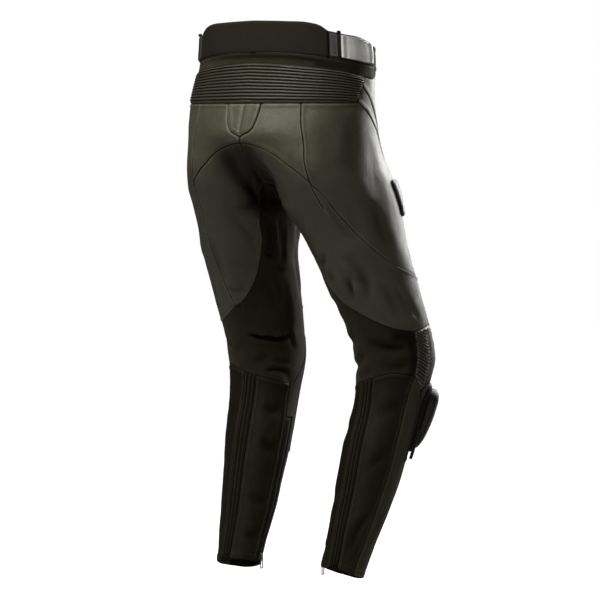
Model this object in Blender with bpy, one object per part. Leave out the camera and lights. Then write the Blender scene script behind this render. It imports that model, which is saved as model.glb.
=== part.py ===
"""Leather motorcycle trousers, filled out as when worn and pre-bent at the knee.

The cloth is one skin, worked out from a short table of level sections. Seams are lines drawn
on that skin, and each panel is a thin closed solid between its seams. What lies on a panel,
such as a strap or a knee slider, is made from the panel's own points, moved out.

Frame: metres, +Z up, the origin at the middle of the waist, the front towards -Y and the
wearer's left towards +X. A place on the skin is (turn, drop). Drop is the distance below the
waist. Turn goes round one half of the trousers: +1 at the centre back, 0 at the outer side and
-1 at the centre front. Below the crotch both ends meet on the inner side of the leg.
"""
import math

import bmesh
import bpy
import numpy as np
from mathutils.geometry import delaunay_2d_cdt

# ---------------------------------------------------------------- driving sizes, metres
WALL = 0.0020            # leather and knit with its lining
SEAM_GAP = 0.0003        # between two panels, and between a panel and what lies on it
PANEL_STEP = 0.027       # spacing of a plain panel's points
SEAM_STEP = 0.021        # spacing of a seam's points
LOOP_STEP = 0.013        # spacing round a piece with round corners
DETAIL_ROOM = 0.0016     # least distance between a rib's or fold's point and any other
SHARP_EDGE = math.radians(40)
SIDE_NAMES = ((1, "_left"), (-1, "_right"))
CROTCH = 0.265           # drop at which the legs part
SEAT_TURNS_IN = 0.130    # drop at which the seat starts to curve in towards the crotch
OVAL = 2.25              # roundness of the hips: 2 is an ellipse, more is squarer
YOKE = 0.084             # drop of the yoke seam

WAISTBAND_RAISE = 0.0020
ACCORDION_RIBS = 12
ACCORDION_RIB_HEIGHT = 0.0017
ACCORDION_COLUMNS = (0.04, 0.975, 17)    # first and last turn of its points, and their number
KNEE_RIBS = 20
KNEE_HIGH, KNEE_LOW = 0.486, 0.607       # drops between which the knee's ribs are counted
KNEE_COLUMNS = (-0.027, -0.018, -0.009, 0.0, 0.009, 0.018, 0.027)
KNEE_RIB_HEIGHT = 0.0014
KNEE_RIB_SLANT = 0.55    # rise of a rib for each metre towards the middle of the panel
GUSSET_RIBS = 3
GUSSET_RIB_HEIGHT = 0.0022
GUSSET_ROWS = np.arange(0.605, 0.912, 0.022)
ZIP_TEETH_RAISE = 0.0012
ZIP_TEETH_TURN = 0.975   # the teeth's flat top reaches from here to the middle line
ZIP_ROWS = np.arange(0.690, 0.915, 0.024)

STRAP_THICK = 0.0034
STRAP_TAB_THICK = 0.0024
STRAP_RING_THICK = 0.0046
SLIDER_BASE_THICK = 0.0080
SLIDER_THICK = 0.0190
SLIDER_EDGE = 0.0085     # height of the slider's upright edge
SLIDER_ROUND = 0.026     # how far in from its edge the slider reaches its full height
SLIDER_TAPER = 0.60      # share of that height which it loses towards its foot
SLIDER_TAPER_FROM = 0.35 # how far down it starts to lose height
SLIDER_MIDDLE = (-0.300, 0.658)          # turn and drop
SLIDER_LEAN = 0.25       # turns forward for each metre down
SLIDER_HALF_WIDTH, SLIDER_HALF_HEIGHT, SLIDER_CORNER = 0.030, 0.054, 0.024
BASE_HALF_WIDTH, BASE_HALF_HEIGHT, BASE_CORNER = 0.038, 0.062, 0.022
BASE_SLOPE = 0.008       # width of the base's sloping edge
THIGH_PATCH_THICK = 0.0055
THIGH_PATCH_SLOPE = 0.006
THIGH_PATCH_MIDDLE = (-0.190, 0.254)
THIGH_PATCH_HALF_WIDTH, THIGH_PATCH_HALF_HEIGHT, THIGH_PATCH_CORNER = 0.022, 0.033, 0.012

# level sections of one half: drop, then the outermost, innermost, rearmost and foremost reach
SECTIONS = np.array([
    (-0.070, 0.163, 0.000, 0.119, -0.108),
    (-0.020, 0.166, 0.000, 0.120, -0.110),
    (0.010, 0.168, 0.000, 0.122, -0.112),
    (0.080, 0.174, 0.000, 0.147, -0.106),
    (0.150, 0.176, 0.000, 0.166, -0.126),
    (0.190, 0.180, 0.000, 0.163, -0.140),
    (0.225, 0.188, 0.000, 0.140, -0.152),
    (0.265, 0.196, 0.000, 0.104, -0.152),
    (0.300, 0.199, 0.018, 0.076, -0.148),
    (0.350, 0.204, 0.034, 0.046, -0.152),
    (0.420, 0.208, 0.048, 0.003, -0.177),
    (0.500, 0.211, 0.063, -0.045, -0.210),
    (0.555, 0.210, 0.070, -0.064, -0.224),
    (0.620, 0.199, 0.074, -0.060, -0.205),
    (0.700, 0.189, 0.070, -0.031, -0.170),
    (0.800, 0.175, 0.069, -0.002, -0.121),
    (0.900, 0.156, 0.072, 0.030, -0.065),
    (0.955, 0.147, 0.073, 0.050, -0.036),
])

# ---------------------------------------------------------------- places where seams meet
KNOTS = {
    "cb_top": (1, -0.063), "back_end_top": (0.43, -0.0435), "side_end_top": (-0.15, -0.019),
    "cf_top": (-1, -0.012),
    "cb_waist": (1, -0.005), "back_end_low": (0.43, 0.005), "side_end_low": (-0.15, 0.0225),
    "band_end": (-0.26, 0.0255), "fly_top": (-0.88, 0.0355), "cf_waist": (-1, 0.036),
    "cb_band": (1, 0.012), "band_corner": (0.025, 0.038), "pocket_top": (0.05, 0.054),
    "yoke_end": (0.10, 0.082), "yoke_hip": (0.615, YOKE), "yoke_pad": (0.895, YOKE),
    "cb_yoke": (1, YOKE), "cb_pad": (1, 0.143), "cb_arch": (1, 0.154),
    "cross": (0.43, 0.223), "arch_end": (-0.36, 0.410), "pocket_foot": (-0.315, 0.190),
    "cf_fly": (-1, 0.195), "cf_crotch": (-1, 0.218), "cb_crotch": (1, 0.232),
    "crotch_back": (1, CROTCH), "crotch_front": (-1, CROTCH),
    "thigh_point": (0.51, 0.458), "knee_back": (0.105, 0.495), "knee_front": (-0.12, 0.486),
    "thigh_foot": (-0.35, 0.477), "knee_inner": (-0.78, 0.470), "shin_inner": (-0.82, 0.525),
    "medial_back": (1, 0.600), "medial_front": (-1, 0.600), "calf_corner": (0.93, 0.606),
    "gusset_in": (0.61, 0.588), "gusset_out": (0.505, 0.582), "strip_top": (0.14, 0.577),
    "rib_foot": (0.02, 0.607), "shin_top": (-0.115, 0.735), "shin_top_in": (-0.80, 0.735),
    "zip_back": (0.95, 0.670), "zip_front": (-0.95, 0.670),
    "zip_mid_back": (1, 0.670), "zip_mid_front": (-1, 0.670),
    "hem_mid_back": (1, 0.926), "hem_mid_front": (-1, 0.926),
    "hem_zip_back": (0.95, 0.9245), "hem_zip_front": (-0.95, 0.929),
    "hem_gusset_in": (0.535, 0.919), "hem_gusset_out": (0.41, 0.920),
    "hem_strip_back": (0.15, 0.931), "hem_strip_front": (-0.165, 0.942),
}

# each seam runs from knot to knot, through the (turn, drop) places between them
SEAMS = {
    "top_back": ["cb_top", (0.78, -0.061), (0.60, -0.0585), (0.50, -0.053), "back_end_top"],
    "top_side": ["back_end_top", (0.28, -0.038), (0.085, -0.033), (-0.05, -0.025), "side_end_top"],
    "top_front": ["side_end_top", (-0.40, -0.014), (-0.70, -0.012), "cf_top"],
    "cb_waistband": ["cb_top", "cb_waist"],
    "cf_waistband": ["cf_top", "cf_waist"],
    "back_end": ["back_end_top", "back_end_low"],
    "side_end": ["side_end_top", "side_end_low"],
    "waist_back": ["cb_waist", (0.80, -0.004), (0.665, -0.001), "back_end_low"],
    "waist_side": ["back_end_low", (0.275, 0.010), (0.05, 0.0165), "side_end_low"],
    "waist_hip": ["side_end_low", "band_end"],
    "waist_front": ["band_end", (-0.55, 0.031), "fly_top"],
    "waist_fly": ["fly_top", "cf_waist"],
    "cb_band": ["cb_waist", "cb_band"],
    "band_low": ["cb_band", (0.79, 0.016), (0.665, 0.019), (0.32, 0.027), (0.15, 0.033),
                 "band_corner"],
    "band_tail": ["band_corner", (-0.08, 0.041), (-0.18, 0.037), "band_end"],
    "cb_accordion": ["cb_band", "cb_yoke"],
    "accordion_end": ["band_corner", "pocket_top"],
    "accordion_end_low": ["pocket_top", "yoke_end"],
    "yoke_side": ["yoke_end", (0.29, 0.0835), "yoke_hip"],
    "yoke_seat": ["yoke_hip", "yoke_pad"],
    "yoke_pad": ["yoke_pad", "cb_yoke"],
    "pad_edge": ["yoke_pad", (0.91, 0.112), (0.935, 0.131), "cb_pad"],
    "cb_pad": ["cb_yoke", "cb_pad"],
    "cb_seat": ["cb_pad", "cb_arch"],
    "arch": ["cb_arch", (0.94, 0.157), (0.865, 0.163), (0.76, 0.174), (0.64, 0.190),
             (0.54, 0.2035), "cross"],
    "arch_side": ["cross", (0.365, 0.245), (0.325, 0.286), (0.25, 0.330), (0.125, 0.366),
                  (-0.075, 0.389), "arch_end"],
    "hip": ["yoke_hip", (0.58, 0.135), (0.51, 0.177), (0.455, 0.206), "cross"],
    "back_thigh": ["cross", (0.405, 0.250), (0.392, 0.285), (0.405, 0.325), (0.43, 0.37),
                   (0.465, 0.415), "thigh_point"],
    "cb_lower": ["cb_arch", "cb_crotch"],
    "stretch_back": ["cb_crotch", (0.90, 0.243), (0.80, 0.262), (0.775, 0.290), (0.79, 0.331),
                     (0.745, 0.385), (0.665, 0.423), (0.57, 0.449), "thigh_point"],
    "leather_hem": ["thigh_point", (0.375, 0.478), (0.265, 0.489), "knee_back"],
    "knee_top_side": ["knee_back", "knee_front"],
    "knee_top_corner": ["knee_front", "thigh_foot"],
    "knee_top": ["thigh_foot", (-0.58, 0.468), "knee_inner"],
    "pocket_in": ["yoke_end", (0.005, 0.096), (-0.10, 0.114), (-0.20, 0.135), (-0.27, 0.160),
                  "pocket_foot"],
    "pocket_out": ["pocket_top", (-0.06, 0.077), (-0.155, 0.099), (-0.26, 0.122),
                   (-0.32, 0.155), "pocket_foot"],
    "side_upper": ["pocket_foot", (-0.345, 0.25), (-0.36, 0.33), "arch_end"],
    "side_lower": ["arch_end", "thigh_foot"],
    "fly_edge": ["fly_top", (-0.88, 0.13), (-0.92, 0.172), "cf_fly"],
    "cf_fly": ["cf_waist", "cf_fly"],
    "cf_lower": ["cf_fly", "cf_crotch"],
    "stretch_front": ["cf_crotch", (-0.92, 0.232), (-0.84, 0.262), (-0.78, 0.33),
                      (-0.76, 0.40), "knee_inner"],
    "crotch_back": ["cb_crotch", "crotch_back"],
    "crotch_front": ["cf_crotch", "crotch_front"],
    "inseam_back": ["crotch_back", "medial_back"],
    "inseam_front": ["crotch_front", "medial_front"],
    "stretch_knee": ["knee_inner", "shin_inner"],
    "stretch_shin": ["shin_inner", (-0.90, 0.572), "medial_front"],
    "stretch_end": ["medial_back", "calf_corner"],
    "calf_top_in": ["calf_corner", (0.86, 0.603), (0.745, 0.596), "gusset_in"],
    "calf_top_gusset": ["gusset_in", "gusset_out"],
    "calf_top_out": ["gusset_out", (0.35, 0.572), "strip_top"],
    "knee_back_edge": ["knee_back", (0.12, 0.53), (0.132, 0.56), "strip_top"],
    "rib_low_back": ["strip_top", "rib_foot"],
    "rib_low_front": ["rib_foot", (-0.06, 0.590), (-0.12, 0.570), (-0.15, 0.530), "knee_front"],
    "strip_upper": ["rib_foot", (-0.03, 0.642), (-0.09, 0.69), "shin_top"],
    "knee_low": ["shin_top", (-0.40, 0.748), (-0.65, 0.745), "shin_top_in"],
    "knee_inner_edge": ["shin_inner", (-0.83, 0.60), (-0.82, 0.68), "shin_top_in"],
    "strip_lower": ["shin_top", (-0.13, 0.77), (-0.125, 0.81), (-0.15, 0.865), "hem_strip_front"],
    "strip_back": ["strip_top", (0.155, 0.612), (0.15, 0.656), (0.13, 0.71), (0.125, 0.755),
                   (0.135, 0.80), (0.138, 0.86), "hem_strip_back"],
    "gusset_outer": ["gusset_out", (0.475, 0.675), (0.455, 0.76), (0.44, 0.85),
                     "hem_gusset_out"],
    "gusset_inner": ["gusset_in", (0.595, 0.675), (0.58, 0.76), (0.565, 0.85),
                     "hem_gusset_in"],
    "medial_edge": ["calf_corner", "zip_back"],
    "zip_edge_back": ["zip_back", "hem_zip_back"],
    "zip_edge_front": ["zip_front", "hem_zip_front"],
    "zip_top_back": ["zip_back", "zip_mid_back"],
    "zip_top_front": ["zip_mid_front", "zip_front"],
    "shin_mid_back": ["medial_back", "zip_mid_back"],
    "shin_mid_front": ["medial_front", "zip_mid_front"],
    "zip_mid_back": ["zip_mid_back", "hem_mid_back"],
    "zip_mid_front": ["zip_mid_front", "hem_mid_front"],
    "hem_zip_back": ["hem_mid_back", "hem_zip_back"],
    "hem_calf_in": ["hem_zip_back", (0.74, 0.920), "hem_gusset_in"],
    "hem_gusset": ["hem_gusset_in", "hem_gusset_out"],
    "hem_calf_out": ["hem_gusset_out", (0.30, 0.924), "hem_strip_back"],
    "hem_strip": ["hem_strip_back", (0, 0.937), "hem_strip_front"],
    "hem_shin": ["hem_strip_front", (-0.4, 0.946), (-0.7, 0.940), "hem_zip_front"],
    "hem_zip_front": ["hem_zip_front", "hem_mid_front"],
}
# seams that end or cross ribs have a point at each rib's foot and crest
SEAM_COUNTS = {
    "cb_accordion": 2 * ACCORDION_RIBS, "accordion_end": 9, "accordion_end_low": 15,
    "calf_top_gusset": 2 * GUSSET_RIBS, "hem_gusset": 2 * GUSSET_RIBS,
    "zip_top_back": 2, "zip_top_front": 2, "hem_zip_back": 2, "hem_zip_front": 2,
}

# ---------------------------------------------------------------- folds pressed into the knit
# each fold: its places, its depth and its half width
FOLDS = [
    ([(0.50, 0.516), (0.75, 0.512), (0.96, 0.520)], 0.0045, 0.010),
    ([(0.42, 0.545), (0.62, 0.548), (0.80, 0.556)], 0.0030, 0.009),
    ([(0.62, 0.571), (0.80, 0.577), (0.96, 0.579)], 0.0040, 0.009),
    ([(0.965, 0.262), (0.90, 0.290), (0.84, 0.325)], 0.0040, 0.009),
    ([(0.965, 0.290), (0.93, 0.325), (0.895, 0.375)], 0.0030, 0.009),
]


def smooth(where, keys, values):
    """A smooth line through values at keys. Its slope at each key is that of both neighbours."""
    keys = np.asarray(keys, float)
    values = np.asarray(values, float).reshape(len(keys), -1)
    gaps = np.diff(keys)
    slopes = np.diff(values, axis=0) / gaps[:, None]
    bend = np.zeros_like(values)
    before, after = gaps[:-1, None], gaps[1:, None]
    bend[1:-1] = (slopes[1:] * before + slopes[:-1] * after) / (before + after)
    bend[0] = slopes[0]
    bend[-1] = slopes[-1]
    where = np.clip(where, keys[0], keys[-1])
    i = np.clip(np.searchsorted(keys, where) - 1, 0, len(keys) - 2)
    h = gaps[i][..., None]
    u = ((where - keys[i]) / gaps[i])[..., None]
    v = 1 - u
    return (values[i] * (1 + 2 * u) * v * v + bend[i] * h * u * v * v
            + values[i + 1] * u * u * (3 - 2 * u) - bend[i + 1] * h * u * u * v)


def rounded(part):
    """A cosine or sine, bent towards a squarer oval."""
    return np.sign(part) * np.abs(part) ** (2 / OVAL)


def skin(turn, drop):
    """The skin's place on the wearer's left half. The right half is its mirror image."""
    turn = np.asarray(turn, float)
    drop = np.asarray(drop, float)
    reach = smooth(drop, SECTIONS[:, 0], SECTIONS[:, 1:])
    outer, inner, back, front = (reach[..., k] for k in range(4))
    inner = np.maximum(inner, 0)
    middle = (back + front) / 2
    depth = (back - front) / 2
    half = turn * math.pi / 2
    body_x = outer * rounded(np.cos(half))
    body_y = middle + depth * rounded(np.sin(half))
    leg_x = (outer + inner) / 2 + (outer - inner) / 2 * np.cos(turn * math.pi)
    leg_y = middle + depth * np.sin(turn * math.pi)
    # between the seat and the crotch the hip oval gives way to the leg's loop, at the middle
    # late and fast, so that the seat seam is a quarter of an ellipse
    left = np.clip((CROTCH - drop) / (CROTCH - SEAT_TURNS_IN), 0, 1)
    at_middle = 1 - np.sqrt(1 - (1 - left) ** 2)
    at_side = 1 - left * left * (3 - 2 * left)
    near = np.abs(turn) ** 4
    leg = at_side * (1 - near) + at_middle * near
    return np.stack([body_x * (1 - leg) + leg_x * leg, body_y * (1 - leg) + leg_y * leg, -drop], -1)


def outward(turn, drop):
    """The skin's outward direction on the wearer's left half."""
    h = 1e-3
    along = skin(turn + h, drop) - skin(turn - h, drop)
    down = skin(turn, drop + h) - skin(turn, drop - h)
    normal = np.cross(down, along)
    on_middle = np.abs(np.abs(turn) - 1) < 1e-9
    normal[on_middle & (drop < CROTCH), 0] = 0
    normal[on_middle & (np.abs(drop - CROTCH) < 1e-9)] = (0, 0, -1)
    return normal / np.linalg.norm(normal, axis=-1, keepdims=True)


def girth_table():
    """Length of one unit of turn at each level."""
    drops = np.arange(-0.07, 0.96, 0.01)
    turns = np.linspace(-1, 1, 81)
    rings = skin(turns[None, :], drops[:, None] + 0 * turns[None, :])
    lengths = np.linalg.norm(np.diff(rings, axis=1), axis=2).sum(1)
    return drops, lengths / 2


GIRTH_DROPS, GIRTHS = girth_table()


def flat(places):
    """Lays (turn, drop) places out flat, in metres, for spacing and for triangles."""
    places = np.asarray(places, float)
    girth = np.interp(places[..., 1], GIRTH_DROPS, GIRTHS)
    return np.stack([places[..., 0] * girth, places[..., 1]], -1)


def line_through(places, step=SEAM_STEP, count=None):
    """Places along a smooth line through the given ones, which all stay on it."""
    places = np.array(places, float)
    spans = np.linalg.norm(np.diff(flat(places), axis=0), axis=1)
    keys = np.concatenate([[0], np.cumsum(spans)])
    stops = [0.0]
    for start, span in zip(keys, spans):
        pieces = count or max(1, math.ceil(span / step))
        stops += [start + span * (k + 1) / pieces for k in range(pieces)]
    line = smooth(np.array(stops), keys, places)
    line[:, 0] = np.clip(line[:, 0], -1, 1)
    return line


def seam_lines():
    lines = {}
    for name, stops in SEAMS.items():
        places = [KNOTS[stop] if isinstance(stop, str) else stop for stop in stops]
        lines[name] = np.round(line_through(places, count=SEAM_COUNTS.get(name)), 9)
    return lines


LINES = seam_lines()


def outline(names):
    """Joins seams end to end into one closed outline, turning each as needed."""
    rest = [LINES[name] for name in names]
    path = rest.pop(0)
    if np.allclose(path[0], rest[0][0]) or np.allclose(path[0], rest[0][-1]):
        path = path[::-1]
    while rest:
        line = rest.pop(0)
        if not np.allclose(path[-1], line[0]):
            line = line[::-1]
        if not np.allclose(path[-1], line[0]):
            raise ValueError("these seams don't follow each other: " + ", ".join(names))
        path = np.vstack([path, line[1:]])
    return path[:-1]


def inside(points, ring):
    """Which flat points lie within a closed flat ring."""
    found = np.zeros(len(points), bool)
    x, y = points[:, 0], points[:, 1]
    for (ax, ay), (bx, by) in zip(ring, np.roll(ring, -1, axis=0)):
        if ay == by:
            continue
        crosses = (ay > y) != (by > y)
        found ^= crosses & (x < ax + (y - ay) * (bx - ax) / (by - ay))
    return found


def distance(points, line, closed=False):
    """Distance from flat points to a flat line."""
    ends = np.roll(line, -1, axis=0) if closed else line[1:]
    starts = line if closed else line[:-1]
    best = np.full(len(points), np.inf)
    for start, end in zip(starts, ends):
        span = end - start
        u = np.clip((points - start) @ span / (span @ span + 1e-18), 0, 1)
        best = np.minimum(best, np.linalg.norm(points - start - u[:, None] * span, axis=1))
    return best


def grid_inside(ring, step):
    """Places of an even triangular grid over a ring of places."""
    low, high = flat(ring).min(0), flat(ring).max(0)
    rows = []
    for row, drop in enumerate(np.arange(low[1] + step / 2, high[1], step * 0.87)):
        girth = np.interp(drop, GIRTH_DROPS, GIRTHS)
        across = np.arange(low[0] - step, high[0] + step, step) + (row % 2) * step / 2
        rows.append(np.stack([across / girth, np.full(len(across), drop)], -1))
    return np.vstack(rows)


def clear_places(places, ring, loops, room):
    """The places that lie inside the ring and keep some room to it and to the loops."""
    places = np.asarray(places, float).reshape(-1, 2)
    spread = flat(places)
    keep = inside(spread, flat(ring)) & (distance(spread, flat(ring), True) > room)
    for loop in loops:
        keep &= distance(spread, flat(loop), True) > room
    return places[keep]


def thinned(places, room):
    """Leaves out each place that comes too near an earlier one."""
    kept = []
    for place, spot in zip(places, flat(places)):
        if all(np.hypot(*(spot - other)) > room for _, other in kept):
            kept.append((place, spot))
    return np.array([place for place, _ in kept]).reshape(-1, 2)


def triangles(ring, loops, places, spread=flat):
    """(places, triangles) that fill the ring, with each loop's line kept as edges.

    Spread lays the places out flat. A ribbed panel's evens out their spacing, so that the
    triangles follow the ribs.
    """
    stack = [ring] + list(loops) + [places]
    every = np.vstack([part for part in stack if len(part)])
    edges = []
    start = 0
    for part in [ring] + list(loops):
        edges += [(start + k, start + (k + 1) % len(part)) for k in range(len(part))]
        start += len(part)
    spots = spread(every)
    made = delaunay_2d_cdt([tuple(spot) for spot in spots], edges, [], 0, 1e-7, True)
    origin = [ids[0] for ids in made[3]]
    faces = np.array([[origin[k] for k in face] for face in made[2]])
    faces = faces[inside(spots[faces].mean(1), spots[:len(ring)])]
    a, b, c = (spots[faces[:, k]] for k in range(3))
    area = (b[:, 0] - a[:, 0]) * (c[:, 1] - a[:, 1]) - (b[:, 1] - a[:, 1]) * (c[:, 0] - a[:, 0])
    faces[area < 0] = faces[area < 0][:, ::-1]
    return every, faces[np.abs(area) > 1e-10]


# ---------------------------------------------------------------- relief of each kind of panel
def between(drop, outer_name, inner_name, turn):
    """How far across the turn is, from one upright seam (0) to another (1)."""
    outer, inner = LINES[outer_name], LINES[inner_name]
    left = np.interp(drop, outer[:, 1], outer[:, 0])
    right = np.interp(drop, inner[:, 1], inner[:, 0])
    return (turn - left) / (right - left), left, right


def accordion_top(turn):
    line = LINES["band_low"][::-1]
    return np.interp(turn, line[:, 0], line[:, 1])


def accordion_relief(turn, drop):
    top = accordion_top(turn)
    share = (drop - top) / (YOKE - top)
    return ACCORDION_RIB_HEIGHT * (1 - np.cos(2 * math.pi * ACCORDION_RIBS * share)) / 2


def accordion_spread(places):
    return flat(places) * (1, 5)


def accordion_places():
    places = []
    for row in range(1, 2 * ACCORDION_RIBS):
        share = row / (2 * ACCORDION_RIBS)
        for turn in np.linspace(*ACCORDION_COLUMNS):
            top = accordion_top(turn)
            places.append((turn, top + share * (YOKE - top)))
    return places


def knee_middle(drop):
    """Turn of the line where the knee's two columns of ribs meet."""
    return np.interp(drop, (KNEE_HIGH, KNEE_LOW), (-0.01, 0.015))


def knee_relief(turn, drop):
    girth = np.interp(drop, GIRTH_DROPS, GIRTHS)
    aside = np.abs(turn - knee_middle(drop)) * girth
    share = (drop + KNEE_RIB_SLANT * aside - KNEE_HIGH) / (KNEE_LOW - KNEE_HIGH)
    return KNEE_RIB_HEIGHT * (1 - np.cos(2 * math.pi * KNEE_RIBS * share)) / 2


def knee_spread(places):
    return flat(places) * (1, 2)


def knee_places():
    places = []
    for row in range(-KNEE_RIBS // 2, 3 * KNEE_RIBS):
        level = KNEE_HIGH + (KNEE_LOW - KNEE_HIGH) * row / (2 * KNEE_RIBS)
        for aside in KNEE_COLUMNS:
            drop = level - KNEE_RIB_SLANT * abs(aside)
            girth = np.interp(drop, GIRTH_DROPS, GIRTHS)
            places.append((knee_middle(drop) + aside / girth, drop))
    return places


def gusset_relief(turn, drop):
    share = between(drop, "gusset_outer", "gusset_inner", turn)[0]
    return GUSSET_RIB_HEIGHT * (1 - np.cos(2 * math.pi * GUSSET_RIBS * share)) / 2


def gusset_spread(places):
    turn, drop = np.asarray(places, float).T
    share = between(drop, "gusset_outer", "gusset_inner", turn)[0]
    return np.stack([2 * GUSSET_RIBS * SEAM_STEP * share, drop], -1)


def gusset_places():
    places = []
    for drop in GUSSET_ROWS:
        left, right = between(drop, "gusset_outer", "gusset_inner", 0)[1:]
        places += [(left + (right - left) * k / (2 * GUSSET_RIBS), drop)
                   for k in range(1, 2 * GUSSET_RIBS)]
    return places


def zip_relief(turn, drop):
    return ZIP_TEETH_RAISE * np.clip((np.abs(turn) - ZIP_TEETH_TURN) / 0.01 + 1, 0, 1)


def zip_places():
    return [(way * (ZIP_TEETH_TURN + 0.001), drop) for drop in ZIP_ROWS for way in (-1, 1)]


def fold_relief(turn, drop):
    spots = flat(np.stack([turn, drop], -1))
    pressed = np.zeros(len(spots))
    for places, depth, width in FOLDS:
        near = distance(spots, flat(line_through(places)))
        pressed -= depth * np.exp(-(near / width) ** 2)
    edge = np.clip((np.abs(turn) - 1) / -0.03, 0, 1)
    return pressed * edge


def fold_places():
    """Three rows of places along each fold."""
    places = []
    for stops, _, width in FOLDS:
        line = line_through(stops, step=0.016)
        for shift in (0, -1.1 * width, 1.1 * width):
            places += [(turn, drop + shift) for turn, drop in line]
    return places


def no_relief(turn, drop):
    return np.zeros(len(turn))


def waistband_relief(turn, drop):
    return np.full(len(turn), WAISTBAND_RAISE)


# ---------------------------------------------------------------- solids
def knot_key(turn, drop, side):
    """Names a place, so that halves meeting on a middle line share its points."""
    if abs(abs(turn) - 1) > 1e-9:
        return side, round(turn, 8), round(drop, 8)
    if drop < CROTCH - 1e-9:
        return "middle", np.sign(turn), round(drop, 8)
    return "inseam", side, round(drop, 8)


class Net:
    """Triangles over places of one or both halves, joined where they meet."""

    def __init__(self, parts):
        self.index = {}
        places = []
        self.faces = []
        for side, points, faces in parts:
            ids = []
            for turn, drop in points:
                key = knot_key(turn, drop, side)
                if key not in self.index:
                    self.index[key] = len(places)
                    places.append((turn, drop, side))
                ids.append(self.index[key])
            for face in faces:
                corners = [ids[k] for k in face]
                self.faces.append(corners[::-1] if side > 0 else corners)
        self.places = np.array(places)
        self.turn, self.drop, self.side = self.places.T
        mirror = np.stack([self.side, np.ones_like(self.side), np.ones_like(self.side)], -1)
        self.base = skin(self.turn, self.drop) * mirror
        self.normal = outward(self.turn, self.drop) * mirror
        self.drop_unused()

    def drop_unused(self):
        used = sorted({k for face in self.faces for k in face})
        new = {old: k for k, old in enumerate(used)}
        self.faces = [[new[k] for k in face] for face in self.faces]
        self.index = {key: new[k] for key, k in self.index.items() if k in new}
        for name in ("turn", "drop", "side", "base", "normal"):
            setattr(self, name, getattr(self, name)[used])

    def rim(self):
        """The directed edges that only one triangle has."""
        edges = {(face[k], face[(k + 1) % 3]) for face in self.faces for k in range(3)}
        return [edge for edge in sorted(edges) if edge[::-1] not in edges]


def rim_inset(net, rim):
    """Moves the rim into the panel by half a seam gap, square to the seam."""
    push = np.zeros_like(net.base)
    ways = {}
    for a, b in rim:
        along = net.base[b] - net.base[a]
        for k in (a, b):
            way = np.cross(net.normal[k], along)
            ways.setdefault(k, []).append(way / np.linalg.norm(way))
    for k, found in ways.items():
        total = np.sum(found, axis=0)
        if len(found) > 1:
            total /= max(1 + float(found[0] @ found[1]), 0.5)
        push[k] = total * SEAM_GAP / 2
    return push


def closed_solid(name, outer, inner, high, low, finish):
    """A closed mesh between an outer net, raised by high, and an inner net, raised by low."""
    rim = outer.rim()
    push = rim_inset(outer, rim)
    keys = {k: key for key, k in outer.index.items()}
    match = {k: inner.index[keys[k]] for edge in rim for k in edge}
    inner_push = np.zeros_like(inner.base)
    for k, other in match.items():
        inner_push[other] = push[k]
    count = len(outer.base)
    top = outer.base + outer.normal * high(outer)[:, None] + push
    under = inner.base + inner.normal * low(inner)[:, None] + inner_push
    faces = [tuple(face) for face in outer.faces]
    faces += [tuple(count + k for k in face[::-1]) for face in inner.faces]
    for a, b in rim:
        under_a, under_b = count + match[a], count + match[b]
        # both panels at a seam split their walls the same way, so that bent walls stay apart
        if (outer.turn[a], outer.drop[a]) < (outer.turn[b], outer.drop[b]):
            faces += [(b, a, under_b), (a, under_a, under_b)]
        else:
            faces += [(b, a, under_a), (b, under_a, under_b)]
    mesh = bpy.data.meshes.new(name)
    mesh.from_pydata([tuple(p) for p in np.vstack([top, under])], [], faces)
    mesh.update()
    mesh.shade_smooth()
    mesh.set_sharp_from_angle(angle=SHARP_EDGE)
    return place_object(name, mesh, finish)


def place_object(name, mesh, finish, location=(0, 0, 0)):
    solid = bpy.data.objects.new(name, mesh)
    bpy.context.collection.objects.link(solid)
    solid.location = location
    mesh.materials.append(material(name, finish))
    return solid


# colour (linear), roughness and metallic value of each finish
FINISHES = {
    "leather": ((0.060, 0.056, 0.048), 0.50, 0.0),
    "leather_dark": ((0.022, 0.020, 0.016), 0.55, 0.0),
    "leather_strip": ((0.045, 0.040, 0.030), 0.55, 0.0),
    "leather_strap": ((0.070, 0.068, 0.062), 0.45, 0.0),
    "waistband": ((0.030, 0.028, 0.024), 0.70, 0.0),
    "knit": ((0.012, 0.011, 0.009), 0.90, 0.0),
    "slider": ((0.030, 0.029, 0.027), 0.40, 0.0),
    "hard_black": ((0.012, 0.012, 0.012), 0.35, 0.0),
    "metal": ((0.42, 0.41, 0.39), 0.30, 1.0),
}


def material(name, finish):
    colour, roughness, metallic = FINISHES[finish]
    made = bpy.data.materials.new(name)
    made.use_nodes = True
    shader = made.node_tree.nodes["Principled BSDF"]
    shader.inputs["Base Color"].default_value = (*colour, 1)
    shader.inputs["Roughness"].default_value = roughness
    shader.inputs["Metallic"].default_value = metallic
    return made


# ---------------------------------------------------------------- what lies on the panels
def rounded_loop(middle, half_width, half_height, corner, lean=0.0):
    """Places round an upright box with round corners; lean turns it forward as it drops."""
    spots = []
    for quarter in range(4):
        sign_x = (1, -1, -1, 1)[quarter]
        sign_y = (1, 1, -1, -1)[quarter]
        for k in range(4):
            angle = math.pi / 2 * (quarter + k / 3)
            spots.append((sign_x * (half_width - corner) + corner * math.cos(angle),
                          sign_y * (half_height - corner) + corner * math.sin(angle)))
    places = []
    for (x0, y0), (x1, y1) in zip(spots, spots[1:] + spots[:1]):
        pieces = max(1, math.ceil(math.hypot(x1 - x0, y1 - y0) / LOOP_STEP))
        for k in range(pieces):
            x, y = x0 + (x1 - x0) * k / pieces, y0 + (y1 - y0) * k / pieces
            drop = middle[1] + y
            girth = np.interp(drop, GIRTH_DROPS, GIRTHS)
            places.append((middle[0] - lean * y + x / girth, drop))
    return np.round(places, 9)


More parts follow.
